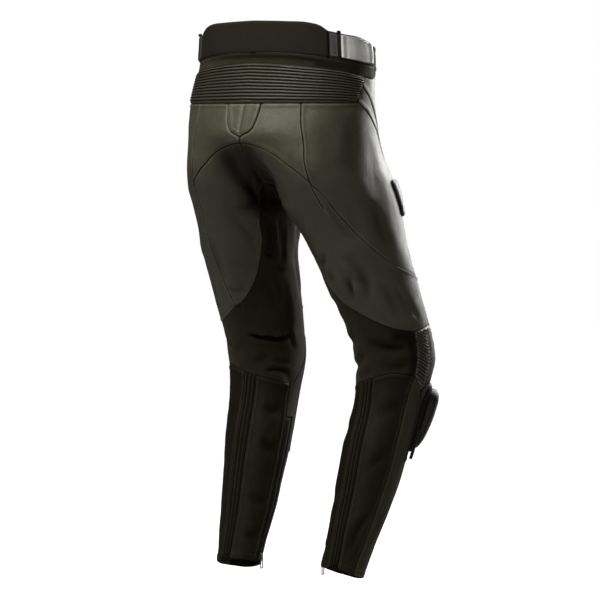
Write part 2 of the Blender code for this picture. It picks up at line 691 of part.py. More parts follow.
def cut_loop(corners):
    """Places round a piece cut straight between its corners."""
    sides = [line_through([a, b])[:-1] for a, b in zip(corners, corners[1:] + corners[:1])]
    return np.round(np.vstack(sides), 9)


LOOPS = {
    "slider_base": rounded_loop(SLIDER_MIDDLE, BASE_HALF_WIDTH, BASE_HALF_HEIGHT, BASE_CORNER,
                                SLIDER_LEAN),
    "knee_slider": rounded_loop(SLIDER_MIDDLE, SLIDER_HALF_WIDTH, SLIDER_HALF_HEIGHT,
                                SLIDER_CORNER, SLIDER_LEAN),
    "strap_tab": cut_loop([(0.422, -0.0405), (0.345, -0.0380), (0.345, 0.0035),
                           (0.422, 0.0015)]),
    "strap_ring": cut_loop([(0.345, -0.0380), (0.321, -0.0370), (0.321, 0.0045),
                            (0.345, 0.0035)]),
    "waist_strap": cut_loop([(0.321, -0.0370), (0.090, -0.0305), (-0.070, -0.0210),
                             (-0.070, 0.0150), (0.050, 0.0125), (0.321, 0.0045)]),
    "thigh_patch": rounded_loop(THIGH_PATCH_MIDDLE, THIGH_PATCH_HALF_WIDTH,
                                THIGH_PATCH_HALF_HEIGHT, THIGH_PATCH_CORNER),
}


def edge_share(net, loop, width):
    """0 at a loop's edge, 1 from the given width inwards."""
    spots = flat(np.stack([net.turn, net.drop], -1))
    return np.clip(distance(spots, flat(LOOPS[loop]), True) / width, 0, 1)


def base_high(net):
    return SEAM_GAP + SLIDER_BASE_THICK * (0.45 + 0.55 * edge_share(net, "slider_base", BASE_SLOPE))


def slider_low(net):
    return np.full(len(net.turn), 2 * SEAM_GAP + SLIDER_BASE_THICK)


def slider_high(net):
    """A dome that is highest near the knee and falls away towards the shin."""
    dome = np.sqrt(1 - (1 - edge_share(net, "knee_slider", SLIDER_ROUND)) ** 2)
    down = (net.drop - SLIDER_MIDDLE[1]) / (2 * SLIDER_HALF_HEIGHT) + 0.5
    past = np.clip((down - SLIDER_TAPER_FROM) / (1 - SLIDER_TAPER_FROM), 0, 1)
    height = SLIDER_EDGE + (SLIDER_THICK - SLIDER_EDGE) * dome
    return slider_low(net) + height * (1 - SLIDER_TAPER * past * past)


def patch_high(net):
    share = edge_share(net, "thigh_patch", THIGH_PATCH_SLOPE)
    return SEAM_GAP + THIGH_PATCH_THICK * (0.5 + 0.5 * share)


def even(height):
    return lambda net: np.full(len(net.turn), height)


def slider_places():
    return grid_inside(LOOPS["slider_base"], 0.012)


# name: (panel under it, height of its low face, of its high face, finish, sides)
BOTH = (-1, 1)
LAID_ON = {
    "slider_base": ("knee_panel", even(SEAM_GAP), base_high, "hard_black", BOTH),
    "knee_slider": ("knee_panel", slider_low, slider_high, "slider", BOTH),
    "strap_tab": ("waistband_side", even(SEAM_GAP), even(SEAM_GAP + STRAP_TAB_THICK),
                  "leather_strap", BOTH),
    "strap_ring": ("waistband_side", even(SEAM_GAP), even(SEAM_GAP + STRAP_RING_THICK),
                   "hard_black", BOTH),
    "waist_strap": ("waistband_side", even(SEAM_GAP), even(SEAM_GAP + STRAP_THICK),
                    "leather_strap", BOTH),
    "thigh_patch": ("hip", even(SEAM_GAP), patch_high, "hard_black", (-1,)),
}

# ---------------------------------------------------------------- panels
FRONT_EDGE = ["cf_lower", "stretch_front", "knee_top", "side_lower", "side_upper", "pocket_out",
              "accordion_end", "band_tail"]
STRETCH_RINGS = [
    ["stretch_back", "leather_hem", "knee_back_edge", "calf_top_out", "calf_top_gusset",
     "calf_top_in", "stretch_end", "inseam_back", "crotch_back"],
    ["stretch_front", "stretch_knee", "stretch_shin", "inseam_front", "crotch_front"],
]
SHIN_RINGS = [
    ["stretch_end", "medial_edge", "zip_top_back", "shin_mid_back"],
    ["stretch_shin", "shin_mid_front", "zip_top_front", "zip_edge_front", "hem_shin",
     "strip_lower", "knee_low", "knee_inner_edge"],
]
ZIP_RINGS = [
    ["zip_top_back", "zip_edge_back", "hem_zip_back", "zip_mid_back"],
    ["zip_top_front", "zip_edge_front", "hem_zip_front", "zip_mid_front"],
]
# panels whose inner face has the outer face's points and folds, because they bend the most
BENT_THROUGH = ("stretch", "knee_panel")
# name: (rings of seams, finish, relief, places of its detail or None, how they are laid flat)
PANELS = {
    "waistband_side": ([["top_side", "side_end", "waist_side", "back_end"]],
                       "waistband", no_relief, None, flat),
    "waistband_front": ([["top_front", "cf_waistband", "waist_fly", "waist_front", "waist_hip",
                          "side_end"]], "waistband", no_relief, None, flat),
    "seat": ([["yoke_seat", "hip", "arch", "cb_seat", "pad_edge"]], "leather", no_relief, None, flat),
    "back_thigh": ([["arch", "back_thigh", "stretch_back", "cb_lower"]],
                   "leather", no_relief, None, flat),
    "hip": ([["yoke_side", "hip", "arch_side", "side_upper", "pocket_in"]],
            "leather", no_relief, None, flat),
    "side_thigh": ([["arch_side", "side_lower", "knee_top_corner", "knee_top_side",
                     "leather_hem", "back_thigh"]], "leather", no_relief, None, flat),
    "hip_strip": ([["accordion_end_low", "pocket_in", "pocket_out"]],
                  "leather", no_relief, None, flat),
    "stretch": (STRETCH_RINGS, "knit", fold_relief, fold_places, flat),
    "knee_accordion": ([["knee_top_side", "rib_low_front", "rib_low_back", "knee_back_edge"]],
                       "leather_dark", knee_relief, knee_places, knee_spread),
    "knee_panel": ([["knee_top_corner", "knee_top", "stretch_knee", "knee_inner_edge",
                     "knee_low", "strip_upper", "rib_low_front"]],
                   "leather_dark", no_relief, slider_places, flat),
    "shin_strip": ([["rib_low_back", "strip_upper", "strip_lower", "hem_strip", "strip_back"]],
                   "leather_strip", no_relief, None, flat),
    "shin_panel": (SHIN_RINGS, "leather_dark", no_relief, None, flat),
    "calf_outer": ([["calf_top_out", "strip_back", "hem_calf_out", "gusset_outer"]],
                   "leather_dark", no_relief, None, flat),
    "calf_gusset": ([["calf_top_gusset", "gusset_outer", "hem_gusset", "gusset_inner"]],
                    "knit", gusset_relief, gusset_places, gusset_spread),
    "calf_inner": ([["calf_top_in", "gusset_inner", "hem_calf_in", "zip_edge_back",
                     "medial_edge"]], "leather_dark", no_relief, None, flat),
    "ankle_zip": (ZIP_RINGS, "hard_black", zip_relief, zip_places, flat),
}
MIDDLE_PANELS = {
    "waistband_back": ([["top_back", "back_end", "waist_back", "cb_waistband"]],
                       "waistband", waistband_relief, None, flat),
    "stretch_band": ([["waist_back", "waist_side", "waist_hip", "band_tail", "band_low",
                       "cb_band"]], "knit", no_relief, None, flat),
    "back_accordion": ([["band_low", "accordion_end", "accordion_end_low", "yoke_side",
                         "yoke_seat", "yoke_pad", "cb_accordion"]],
                       "leather", accordion_relief, accordion_places, accordion_spread),
    "tailbone_pad": ([["yoke_pad", "pad_edge", "cb_pad"]], "leather", no_relief, None, flat),
}
ONE_SIDED_PANELS = {
    "front_thigh_left": (1, ([["waist_front", "fly_edge"] + FRONT_EDGE],
                             "leather", no_relief, None, flat)),
    "front_thigh_right": (-1, ([["waist_front", "waist_fly", "cf_fly"] + FRONT_EDGE],
                               "leather", no_relief, None, flat)),
    "fly_flap": (1, ([["waist_fly", "cf_fly", "fly_edge"]], "leather", no_relief, None, flat)),
}


def panel_triangles(name, rings, detail, spread):
    """The panel's fine outer triangles and its plain inner ones, ring by ring."""
    loops = [LOOPS[loop] for loop, laid in LAID_ON.items() if laid[0] == name]
    fine, plain = [], []
    for seams in rings:
        ring = outline(seams)
        grid = clear_places(grid_inside(ring, PANEL_STEP), ring, [], PANEL_STEP * 0.5)
        plain.append(triangles(ring, [], grid))
        if detail is None and not loops:
            fine.append(plain[-1])
            continue
        places = np.zeros((0, 2))
        if detail is not None:
            places = clear_places(detail(), ring, loops, DETAIL_ROOM)
            places = thinned(places, DETAIL_ROOM)
        grid = clear_places(grid, ring, loops, PANEL_STEP * 0.45)
        if len(places):
            far = [np.min(np.linalg.norm(flat(places) - spot, axis=1)) > PANEL_STEP * 0.6
                   for spot in flat(grid)]
            grid = grid[np.array(far, bool)]
        fine.append(triangles(ring, loops, np.vstack([places, grid]), spread))
    return fine, fine if name in BENT_THROUGH else plain


def make_panel(name, panel, sides, made=None):
    """One panel. Its triangles may be given, where both legs share them."""
    rings, finish, relief, detail, spread = panel
    fine, plain = made or panel_triangles(name, rings, detail, spread)
    outer = Net([(side, *part) for side in sides for part in fine])
    inner = Net([(side, *part) for side in sides for part in plain])

    def high(net):
        return relief(net.turn, net.drop)

    def low(net):
        return (high(net) if plain is fine else 0 * net.turn) - WALL

    closed_solid(name, outer, inner, high, low, finish)


def make_laid_on(name, fine, side_name, side):
    """A piece on a panel, made from the panel's triangles inside its loop."""
    _, low, high, finish, sides = LAID_ON[name]
    if side not in sides:
        return
    parts = []
    for points, faces in fine:
        centres = flat(points)[faces].mean(1)
        found = faces[inside(centres, flat(LOOPS[name]))]
        if len(found):
            parts.append((side, points, found))
    net = Net(parts)
    solid_name = name + side_name if len(sides) > 1 else name
    closed_solid(solid_name, net, net, high, low, finish)


def make_panels():
    for name, panel in MIDDLE_PANELS.items():
        make_panel(name, panel, BOTH)
    for name, (side, panel) in ONE_SIDED_PANELS.items():
        make_panel(name, panel, (side,))
    for name, panel in PANELS.items():
        made = panel_triangles(name, panel[0], *panel[3:])
        for side, side_name in SIDE_NAMES:
            make_panel(name + side_name, panel, (side,), made)
            for piece, laid in LAID_ON.items():
                if laid[0] == name:
                    make_laid_on(piece, made[0], side_name, side)


# ---------------------------------------------------------------- ankle zip sliders and pulls
# every size here is (out from the zip, along the leg's front-to-back, up)
ZIP_SLIDER_DROP = 0.916
ZIP_BODY = (0.0030, 0.0070, 0.0095)
ZIP_BRIDGE = (0.0034, 0.0024, 0.0078)    # the first is how far it stands out of the body
ZIP_BRIDGE_SINK = 0.0006                 # depth of its feet in the body
ZIP_BRIDGE_BAR = 0.0012
PULL_SIZE = (0.0014, 0.0080, 0.0230)
PULL_RIM = 0.0017
PULL_PLAY = 0.0004                       # between the pull's bar and the bridge
EYE_PLAY = 0.0008                        # between the bridge and the eye's upright sides
EYE_FOOT, WINDOW_TOP = 0.0052, 0.0070    # depths below the hinge


def box_mesh(name, size, middle):
    bm = bmesh.new()
    corners = bmesh.ops.create_cube(bm, size=1)["verts"]
    bmesh.ops.scale(bm, vec=size, verts=corners)
    bmesh.ops.translate(bm, vec=middle, verts=corners)
    mesh = bpy.data.meshes.new(name)
    bm.to_mesh(mesh)
    bm.free()
    return mesh


def use_box(solid, name, size, middle, operation):
    """Joins a box to a solid or cuts it away. The box itself is left out of the render."""
    tool = bpy.data.objects.new(name, box_mesh(name, size, middle))
    bpy.context.collection.objects.link(tool)
    tool.parent = solid
    tool.hide_render = True
    tool.display_type = "WIRE"
    modifier = solid.modifiers.new(name, "BOOLEAN")
    modifier.object = tool
    modifier.operation = operation
    modifier.solver = "EXACT"


def zip_face(side):
    """The point on the zip's teeth behind the slider."""
    crest = skin(np.array([1.0]), np.array([ZIP_SLIDER_DROP]))[0]
    return side * (crest[0] - ZIP_TEETH_RAISE - 2 * SEAM_GAP), crest[1], crest[2]


def make_zip_slider(side, side_name):
    """The slider's body with a bridge, whose gap holds the pull."""
    out = -side
    thick, width, height = ZIP_BODY
    mesh = box_mesh("zip_slider" + side_name, ZIP_BODY, (out * thick / 2, 0, 0))
    slider = place_object("zip_slider" + side_name, mesh, "metal", zip_face(side))
    stands_out, bridge_width, bridge_height = ZIP_BRIDGE
    size = (stands_out + ZIP_BRIDGE_SINK, bridge_width, bridge_height)
    middle = (out * (thick + (stands_out - ZIP_BRIDGE_SINK) / 2), 0, 0)
    use_box(slider, "bridge" + side_name, size, middle, "UNION")
    depth = stands_out - ZIP_BRIDGE_BAR
    gap = (depth, 2 * bridge_width, bridge_height - 2 * ZIP_BRIDGE_BAR)
    use_box(slider, "bridge_gap" + side_name, gap, (out * (thick + depth / 2), 0, 0), "DIFFERENCE")


def make_zip_pull(side, side_name):
    """The pull, hanging plumb. Its origin is on the hinge, in the bridge's gap."""
    thick, width, length = PULL_SIZE
    face, middle_y, middle_z = zip_face(side)
    gap_depth = ZIP_BRIDGE[0] - ZIP_BRIDGE_BAR
    hinge_x = face - side * (ZIP_BODY[0] + gap_depth / 2)
    hinge_z = middle_z - ZIP_BRIDGE[2] / 2 + ZIP_BRIDGE_BAR + thick / 2 + PULL_PLAY
    mesh = box_mesh("zip_pull" + side_name, PULL_SIZE, (0, 0, (thick - length) / 2))
    pull = place_object("zip_pull" + side_name, mesh, "metal", (hinge_x, middle_y, hinge_z))
    eye_top = -thick / 2
    eye = (2 * thick, ZIP_BRIDGE[1] + 2 * EYE_PLAY, EYE_FOOT + eye_top)
    use_box(pull, "pull_eye" + side_name, eye, (0, 0, (eye_top - EYE_FOOT) / 2), "DIFFERENCE")
    window_foot = length - thick / 2 - PULL_RIM
    window = (2 * thick, width - 2 * PULL_RIM, window_foot - WINDOW_TOP)
    use_box(pull, "pull_window" + side_name, window, (0, 0, -(window_foot + WINDOW_TOP) / 2),
            "DIFFERENCE")


def main():
    for old in list(bpy.data.objects):
        bpy.data.objects.remove(old, do_unlink=True)
    make_panels()
    for side, side_name in SIDE_NAMES:
        make_zip_slider(side, side_name)
        make_zip_pull(side, side_name)


main()
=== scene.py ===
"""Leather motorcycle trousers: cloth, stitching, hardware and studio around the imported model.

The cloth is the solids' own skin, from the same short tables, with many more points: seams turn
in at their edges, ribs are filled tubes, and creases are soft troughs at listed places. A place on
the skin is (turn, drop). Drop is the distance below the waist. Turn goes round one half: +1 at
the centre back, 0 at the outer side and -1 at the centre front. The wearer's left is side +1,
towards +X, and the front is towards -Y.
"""
import math
from collections import namedtuple

import bmesh
import bpy
import numpy as np
from bpy.props import FloatProperty, FloatVectorProperty, IntProperty, PointerProperty
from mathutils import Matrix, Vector
from mathutils.geometry import delaunay_2d_cdt


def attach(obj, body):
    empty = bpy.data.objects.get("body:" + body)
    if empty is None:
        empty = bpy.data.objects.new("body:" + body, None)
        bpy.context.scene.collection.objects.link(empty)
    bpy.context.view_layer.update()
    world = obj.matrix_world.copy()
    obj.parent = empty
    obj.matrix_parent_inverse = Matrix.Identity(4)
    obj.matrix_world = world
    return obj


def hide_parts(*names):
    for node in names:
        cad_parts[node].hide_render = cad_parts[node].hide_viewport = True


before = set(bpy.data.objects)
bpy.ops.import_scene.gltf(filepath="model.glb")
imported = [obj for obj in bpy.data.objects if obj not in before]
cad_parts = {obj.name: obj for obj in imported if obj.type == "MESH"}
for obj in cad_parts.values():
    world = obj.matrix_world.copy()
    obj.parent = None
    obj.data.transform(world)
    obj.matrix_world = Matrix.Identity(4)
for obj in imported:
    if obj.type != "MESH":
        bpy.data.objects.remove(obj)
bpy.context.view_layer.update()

bl_info = {
    "name": "Leather Motorcycle Trousers",
    "version": (1, 0, 0),
    "blender": (4, 5, 0),
    "location": "3D View > Sidebar > Trousers",
    "description": "Dresses the packed trousers in leather, knit, stitching and hardware",
    "category": "Object",
}

BODY = "trousers"
SIDES = ((1, "_left"), (-1, "_right"))
BOTH = (1, -1)

# ---------------------------------------------------------------- the skin's form, metres
TINY = 1e-9              # places closer than this are the same
SEAM_GAP = 0.0003
SHOWN_GAP = 0.00004      # gap between the cloth's pieces here, too narrow to see through
CROTCH = 0.265           # drop at which the legs part
SEAT_TURNS_IN = 0.130    # drop at which the seat starts to curve in towards the crotch
OVAL = 2.25              # roundness of the hips: 2 is an ellipse, more is squarer
YOKE = 0.084             # drop of the yoke seam

# level sections of one half: drop, then the outermost, innermost, rearmost and foremost reach
SECTIONS = np.array([
    (-0.070, 0.163, 0.000, 0.119, -0.108),
    (-0.020, 0.166, 0.000, 0.120, -0.110),
    (0.010, 0.168, 0.000, 0.122, -0.112),
    (0.080, 0.174, 0.000, 0.147, -0.106),
    (0.150, 0.176, 0.000, 0.166, -0.126),
    (0.190, 0.180, 0.000, 0.163, -0.140),
    (0.225, 0.188, 0.000, 0.140, -0.152),
    (0.265, 0.196, 0.000, 0.104, -0.152),
    (0.300, 0.199, 0.018, 0.076, -0.148),
    (0.350, 0.204, 0.034, 0.046, -0.152),
    (0.420, 0.208, 0.048, 0.003, -0.177),
    (0.500, 0.211, 0.063, -0.045, -0.210),
    (0.555, 0.210, 0.070, -0.064, -0.224),
    (0.620, 0.199, 0.074, -0.060, -0.205),
    (0.700, 0.189, 0.070, -0.031, -0.170),
    (0.800, 0.175, 0.069, -0.002, -0.121),
    (0.900, 0.156, 0.072, 0.030, -0.065),
    (0.955, 0.147, 0.073, 0.050, -0.036),
])

KNOTS = {
    "cb_top": (1, -0.063), "back_end_top": (0.43, -0.0435), "side_end_top": (-0.15, -0.019),
    "cf_top": (-1, -0.012),
    "cb_waist": (1, -0.005), "back_end_low": (0.43, 0.005), "side_end_low": (-0.15, 0.0225),
    "band_end": (-0.26, 0.0255), "fly_top": (-0.88, 0.0355), "cf_waist": (-1, 0.036),
    "cb_band": (1, 0.012), "band_corner": (0.025, 0.038), "pocket_top": (0.05, 0.054),
    "yoke_end": (0.10, 0.082), "yoke_hip": (0.615, YOKE), "yoke_pad": (0.895, YOKE),
    "cb_yoke": (1, YOKE), "cb_pad": (1, 0.143), "cb_arch": (1, 0.154),
    "cross": (0.43, 0.223), "arch_end": (-0.36, 0.410), "pocket_foot": (-0.315, 0.190),
    "cf_fly": (-1, 0.195), "cf_crotch": (-1, 0.218), "cb_crotch": (1, 0.232),
    "crotch_back": (1, CROTCH), "crotch_front": (-1, CROTCH),
    "thigh_point": (0.51, 0.458), "knee_back": (0.105, 0.495), "knee_front": (-0.12, 0.486),
    "thigh_foot": (-0.35, 0.477), "knee_inner": (-0.78, 0.470), "shin_inner": (-0.82, 0.525),
    "medial_back": (1, 0.600), "medial_front": (-1, 0.600), "calf_corner": (0.93, 0.606),
    "gusset_in": (0.61, 0.588), "gusset_out": (0.505, 0.582), "strip_top": (0.14, 0.577),
    "rib_foot": (0.02, 0.607), "shin_top": (-0.115, 0.735), "shin_top_in": (-0.80, 0.735),
    "zip_back": (0.95, 0.670), "zip_front": (-0.95, 0.670),
    "zip_mid_back": (1, 0.670), "zip_mid_front": (-1, 0.670),
    "hem_mid_back": (1, 0.926), "hem_mid_front": (-1, 0.926),
    "hem_zip_back": (0.95, 0.9245), "hem_zip_front": (-0.95, 0.929),
    "hem_gusset_in": (0.535, 0.919), "hem_gusset_out": (0.41, 0.920),
    "hem_strip_back": (0.15, 0.931), "hem_strip_front": (-0.165, 0.942),
}

# seams that run straight from one knot to another
STRAIGHT_SEAMS = {
    "cb_waistband": "cb_top cb_waist", "cf_waistband": "cf_top cf_waist",
    "back_end": "back_end_top back_end_low", "side_end": "side_end_top side_end_low",
    "waist_hip": "side_end_low band_end", "waist_fly": "fly_top cf_waist",
    "cb_band": "cb_waist cb_band", "cb_accordion": "cb_band cb_yoke",
    "accordion_end": "band_corner pocket_top", "accordion_end_low": "pocket_top yoke_end",
    "yoke_seat": "yoke_hip yoke_pad", "yoke_pad": "yoke_pad cb_yoke", "cb_pad": "cb_yoke cb_pad",
    "cb_seat": "cb_pad cb_arch", "cb_lower": "cb_arch cb_crotch",
    "knee_top_side": "knee_back knee_front", "knee_top_corner": "knee_front thigh_foot",
    "side_lower": "arch_end thigh_foot", "cf_fly": "cf_waist cf_fly",
    "cf_lower": "cf_fly cf_crotch", "crotch_back": "cb_crotch crotch_back",
    "crotch_front": "cf_crotch crotch_front", "inseam_back": "crotch_back medial_back",
    "inseam_front": "crotch_front medial_front", "stretch_knee": "knee_inner shin_inner",
    "stretch_end": "medial_back calf_corner", "calf_top_gusset": "gusset_in gusset_out",
    "rib_low_back": "strip_top rib_foot", "medial_edge": "calf_corner zip_back",
    "zip_edge_back": "zip_back hem_zip_back", "zip_edge_front": "zip_front hem_zip_front",
    "zip_top_back": "zip_back zip_mid_back", "zip_top_front": "zip_mid_front zip_front",
    "shin_mid_back": "medial_back zip_mid_back", "shin_mid_front": "medial_front zip_mid_front",
    "zip_mid_back": "zip_mid_back hem_mid_back", "zip_mid_front": "zip_mid_front hem_mid_front",
    "hem_zip_back": "hem_mid_back hem_zip_back", "hem_gusset": "hem_gusset_in hem_gusset_out",
    "hem_zip_front": "hem_zip_front hem_mid_front",
}
# seams that run from knot to knot through the (turn, drop) places between them
BENT_SEAMS = {
    "top_back": ["cb_top", (0.78, -0.061), (0.6, -0.0585), (0.5, -0.053), "back_end_top"],
    "top_side": ["back_end_top", (0.28, -0.038), (0.085, -0.033), (-0.05, -0.025), "side_end_top"],
    "top_front": ["side_end_top", (-0.4, -0.014), (-0.7, -0.012), "cf_top"],
    "waist_back": ["cb_waist", (0.8, -0.004), (0.665, -0.001), "back_end_low"],
    "waist_side": ["back_end_low", (0.275, 0.01), (0.05, 0.0165), "side_end_low"],
    "waist_front": ["band_end", (-0.55, 0.031), "fly_top"],
    "band_low": ["cb_band", (0.79, 0.016), (0.665, 0.019), (0.32, 0.027), (0.15, 0.033), "band_corner"],
    "band_tail": ["band_corner", (-0.08, 0.041), (-0.18, 0.037), "band_end"],
    "yoke_side": ["yoke_end", (0.29, 0.0835), "yoke_hip"],
    "pad_edge": ["yoke_pad", (0.91, 0.112), (0.935, 0.131), "cb_pad"],
    "arch": ["cb_arch", (0.94, 0.157), (0.865, 0.163), (0.76, 0.174), (0.64, 0.19), (0.54, 0.2035),
        "cross"],
    "arch_side": ["cross", (0.365, 0.245), (0.325, 0.286), (0.25, 0.33), (0.125, 0.366), (-0.075, 0.389),
        "arch_end"],
    "hip": ["yoke_hip", (0.58, 0.135), (0.51, 0.177), (0.455, 0.206), "cross"],
    "back_thigh": ["cross", (0.405, 0.25), (0.392, 0.285), (0.405, 0.325), (0.43, 0.37), (0.465, 0.415),
        "thigh_point"],
    "stretch_back": ["cb_crotch", (0.9, 0.243), (0.8, 0.262), (0.775, 0.29), (0.79, 0.331),
        (0.745, 0.385), (0.665, 0.423), (0.57, 0.449), "thigh_point"],
    "leather_hem": ["thigh_point", (0.375, 0.478), (0.265, 0.489), "knee_back"],
    "knee_top": ["thigh_foot", (-0.58, 0.468), "knee_inner"],
    "pocket_in": ["yoke_end", (0.005, 0.096), (-0.1, 0.114), (-0.2, 0.135), (-0.27, 0.16), "pocket_foot"],
    "pocket_out": ["pocket_top", (-0.06, 0.077), (-0.155, 0.099), (-0.26, 0.122), (-0.32, 0.155),
        "pocket_foot"],
    "side_upper": ["pocket_foot", (-0.345, 0.25), (-0.36, 0.33), "arch_end"],
    "fly_edge": ["fly_top", (-0.88, 0.13), (-0.92, 0.172), "cf_fly"],
    "stretch_front": ["cf_crotch", (-0.92, 0.232), (-0.84, 0.262), (-0.78, 0.33), (-0.76, 0.4),
        "knee_inner"],
    "stretch_shin": ["shin_inner", (-0.9, 0.572), "medial_front"],
    "calf_top_in": ["calf_corner", (0.86, 0.603), (0.745, 0.596), "gusset_in"],
    "calf_top_out": ["gusset_out", (0.35, 0.572), "strip_top"],
    "knee_back_edge": ["knee_back", (0.12, 0.53), (0.132, 0.56), "strip_top"],
    "rib_low_front": ["rib_foot", (-0.06, 0.59), (-0.12, 0.57), (-0.15, 0.53), "knee_front"],
    "strip_upper": ["rib_foot", (-0.03, 0.642), (-0.09, 0.69), "shin_top"],
    "knee_low": ["shin_top", (-0.4, 0.748), (-0.65, 0.745), "shin_top_in"],
    "knee_inner_edge": ["shin_inner", (-0.83, 0.6), (-0.82, 0.68), "shin_top_in"],
    "strip_lower": ["shin_top", (-0.13, 0.77), (-0.125, 0.81), (-0.15, 0.865), "hem_strip_front"],
    "strip_back": ["strip_top", (0.155, 0.612), (0.15, 0.656), (0.13, 0.71), (0.125, 0.755), (0.135, 0.8),
        (0.138, 0.86), "hem_strip_back"],
    "gusset_outer": ["gusset_out", (0.475, 0.675), (0.455, 0.76), (0.44, 0.85), "hem_gusset_out"],
    "gusset_inner": ["gusset_in", (0.595, 0.675), (0.58, 0.76), (0.565, 0.85), "hem_gusset_in"],
    "hem_calf_in": ["hem_zip_back", (0.74, 0.92), "hem_gusset_in"],
    "hem_calf_out": ["hem_gusset_out", (0.3, 0.924), "hem_strip_back"],
    "hem_strip": ["hem_strip_back", (0, 0.937), "hem_strip_front"],
    "hem_shin": ["hem_strip_front", (-0.4, 0.946), (-0.7, 0.94), "hem_zip_front"],
}
SEAMS = {**{name: knots.split() for name, knots in STRAIGHT_SEAMS.items()}, **BENT_SEAMS}
# lines inside one piece of cloth, where its two halves meet with no seam
MIDDLE_LINES = ("cb_waistband cb_band cb_accordion cb_pad inseam_back inseam_front shin_mid_back "
                "shin_mid_front zip_mid_back zip_mid_front").split()

# ---------------------------------------------------------------- ribs, rows and raised edges
SEAM_STEP = 0.0045       # spacing of a seam's points
CREASE_STEP = 0.006      # the same for creases and shaded hollows
ROWS = (0.0008, 0.0020, 0.0036, 0.0058, 0.0078)   # rows of points beside a seam
RIB_ROWS_BESIDE = (0.0010, 0.0024)                # the same on a ribbed panel
ROW_TO_RIM = 0.35        # share of its own distance that a row keeps from the ring's edge
ROW_TO_SEAM = 0.86       # the same from every seam beside it
ROW_CELL = 0.0005        # squares that hold one of the rows' points each
INSIDE_PROBE = 0.001     # distance beside a seam at which its inner side is tried
RIB_ROOM = 0.0034        # nearest that a rib's points come to a seam
RIB_TO_RIM = 0.0004      # nearest that they come to a middle line
GRID_TO_RIM = 0.45       # the same for plain cloth's points, in steps of their grid
ROLL_REACH = 0.0017      # how far in from a seam its turned edge reaches
RIB_ROUNDNESS = 0.55     # nearer 0, the ribs are fuller and the valleys between them narrower
BACK_RIBS = 12
BACK_RIB_COLUMNS = (0.010, 0.995, 44)
RIB_STOPS = (0.0, 0.05, 0.14, 0.28, 0.44, 0.60, 0.76, 0.88, 0.96)   # rows across one rib
KNEE_HIGH, KNEE_LOW = 0.486, 0.607
KNEE_MIDDLE = (-0.01, 0.015)         # turn of the columns' meeting line, high and low
KNEE_RIB_SLANT = 0.55
KNEE_COLUMNS = np.linspace(-0.034, 0.034, 21)
KNEE_STOPS = (0.0, 0.12, 0.34, 0.62, 0.86)
KNEE_PLAIN = (-0.060, -0.030)        # turns between which the ribs grow out of smooth leather
GUSSET_RIBS = 3
GUSSET_STOPS = (0.0, 0.06, 0.16, 0.32, 0.5, 0.68, 0.84, 0.94)
GUSSET_ROWS = np.arange(0.592, 0.924, 0.0055)
GUSSET_HEM = (0.905, 0.912)          # drops between which the calf's ribs are pressed flatter
GUSSET_HEM_PRESS = 0.6
ZIP_TEETH_TURN = 0.975
ZIP_RISE = 0.0005        # height of the tape beside the teeth
BAND_RISE = 0.0020       # height of the waistband's raised back
PAD_RISE = 0.0010        # height of the tailbone pad
PAD_GROOVE, PAD_GROOVE_WIDTH = 0.0013, 0.0016
PUCKER = 0.00045         # height of the leather's puckers beside a seam
PUCKER_SIZE, PUCKER_REACH = 0.0095, 0.009
LAP_RISE = 0.0008        # height of a seam allowance under the leather
LAP_WIDTH = 0.0066
HEM_WIDTH = 0.0115
FADED_SEAM = 0.0060      # added to the distance from a seam that is pressed flat
FADED_BELOW = (0.262, 0.300)         # drops between which that seam fades
# seams whose allowance is turned under this piece and stitched down
LAPS = {
    "seat": "arch yoke_seat cb_seat", "hip": "hip yoke_side side_upper",
    "side_thigh": "arch_side leather_hem side_lower", "back_thigh": "stretch_back",
    "tailbone_pad": "pad_edge", "front_thigh_left": "stretch_front knee_top pocket_out",
    "front_thigh_right": "stretch_front knee_top pocket_out cf_fly",
    "fly_flap": "fly_edge", "hip_strip": "pocket_in",
    "knee_panel": "knee_low knee_inner_edge rib_low_front strip_upper",
    "calf_outer": "gusset_outer strip_back calf_top_out",
    "calf_inner": "gusset_inner calf_top_in medial_edge zip_edge_back",
    "shin_panel": "strip_lower stretch_shin zip_edge_front",
    "waistband_side": "top_side waist_side", "waistband_front": "top_front waist_front",
}
HEMS = {"calf_outer": "hem_calf_out", "calf_inner": "hem_calf_in", "calf_gusset": "hem_gusset",
        "shin_strip": "hem_strip", "shin_panel": "hem_shin"}
STITCH_BESIDE = (0.0019, 0.0052)     # the two rows of stitching on a turned seam
HEM_STITCH = 0.0103                  # the one row on a hem

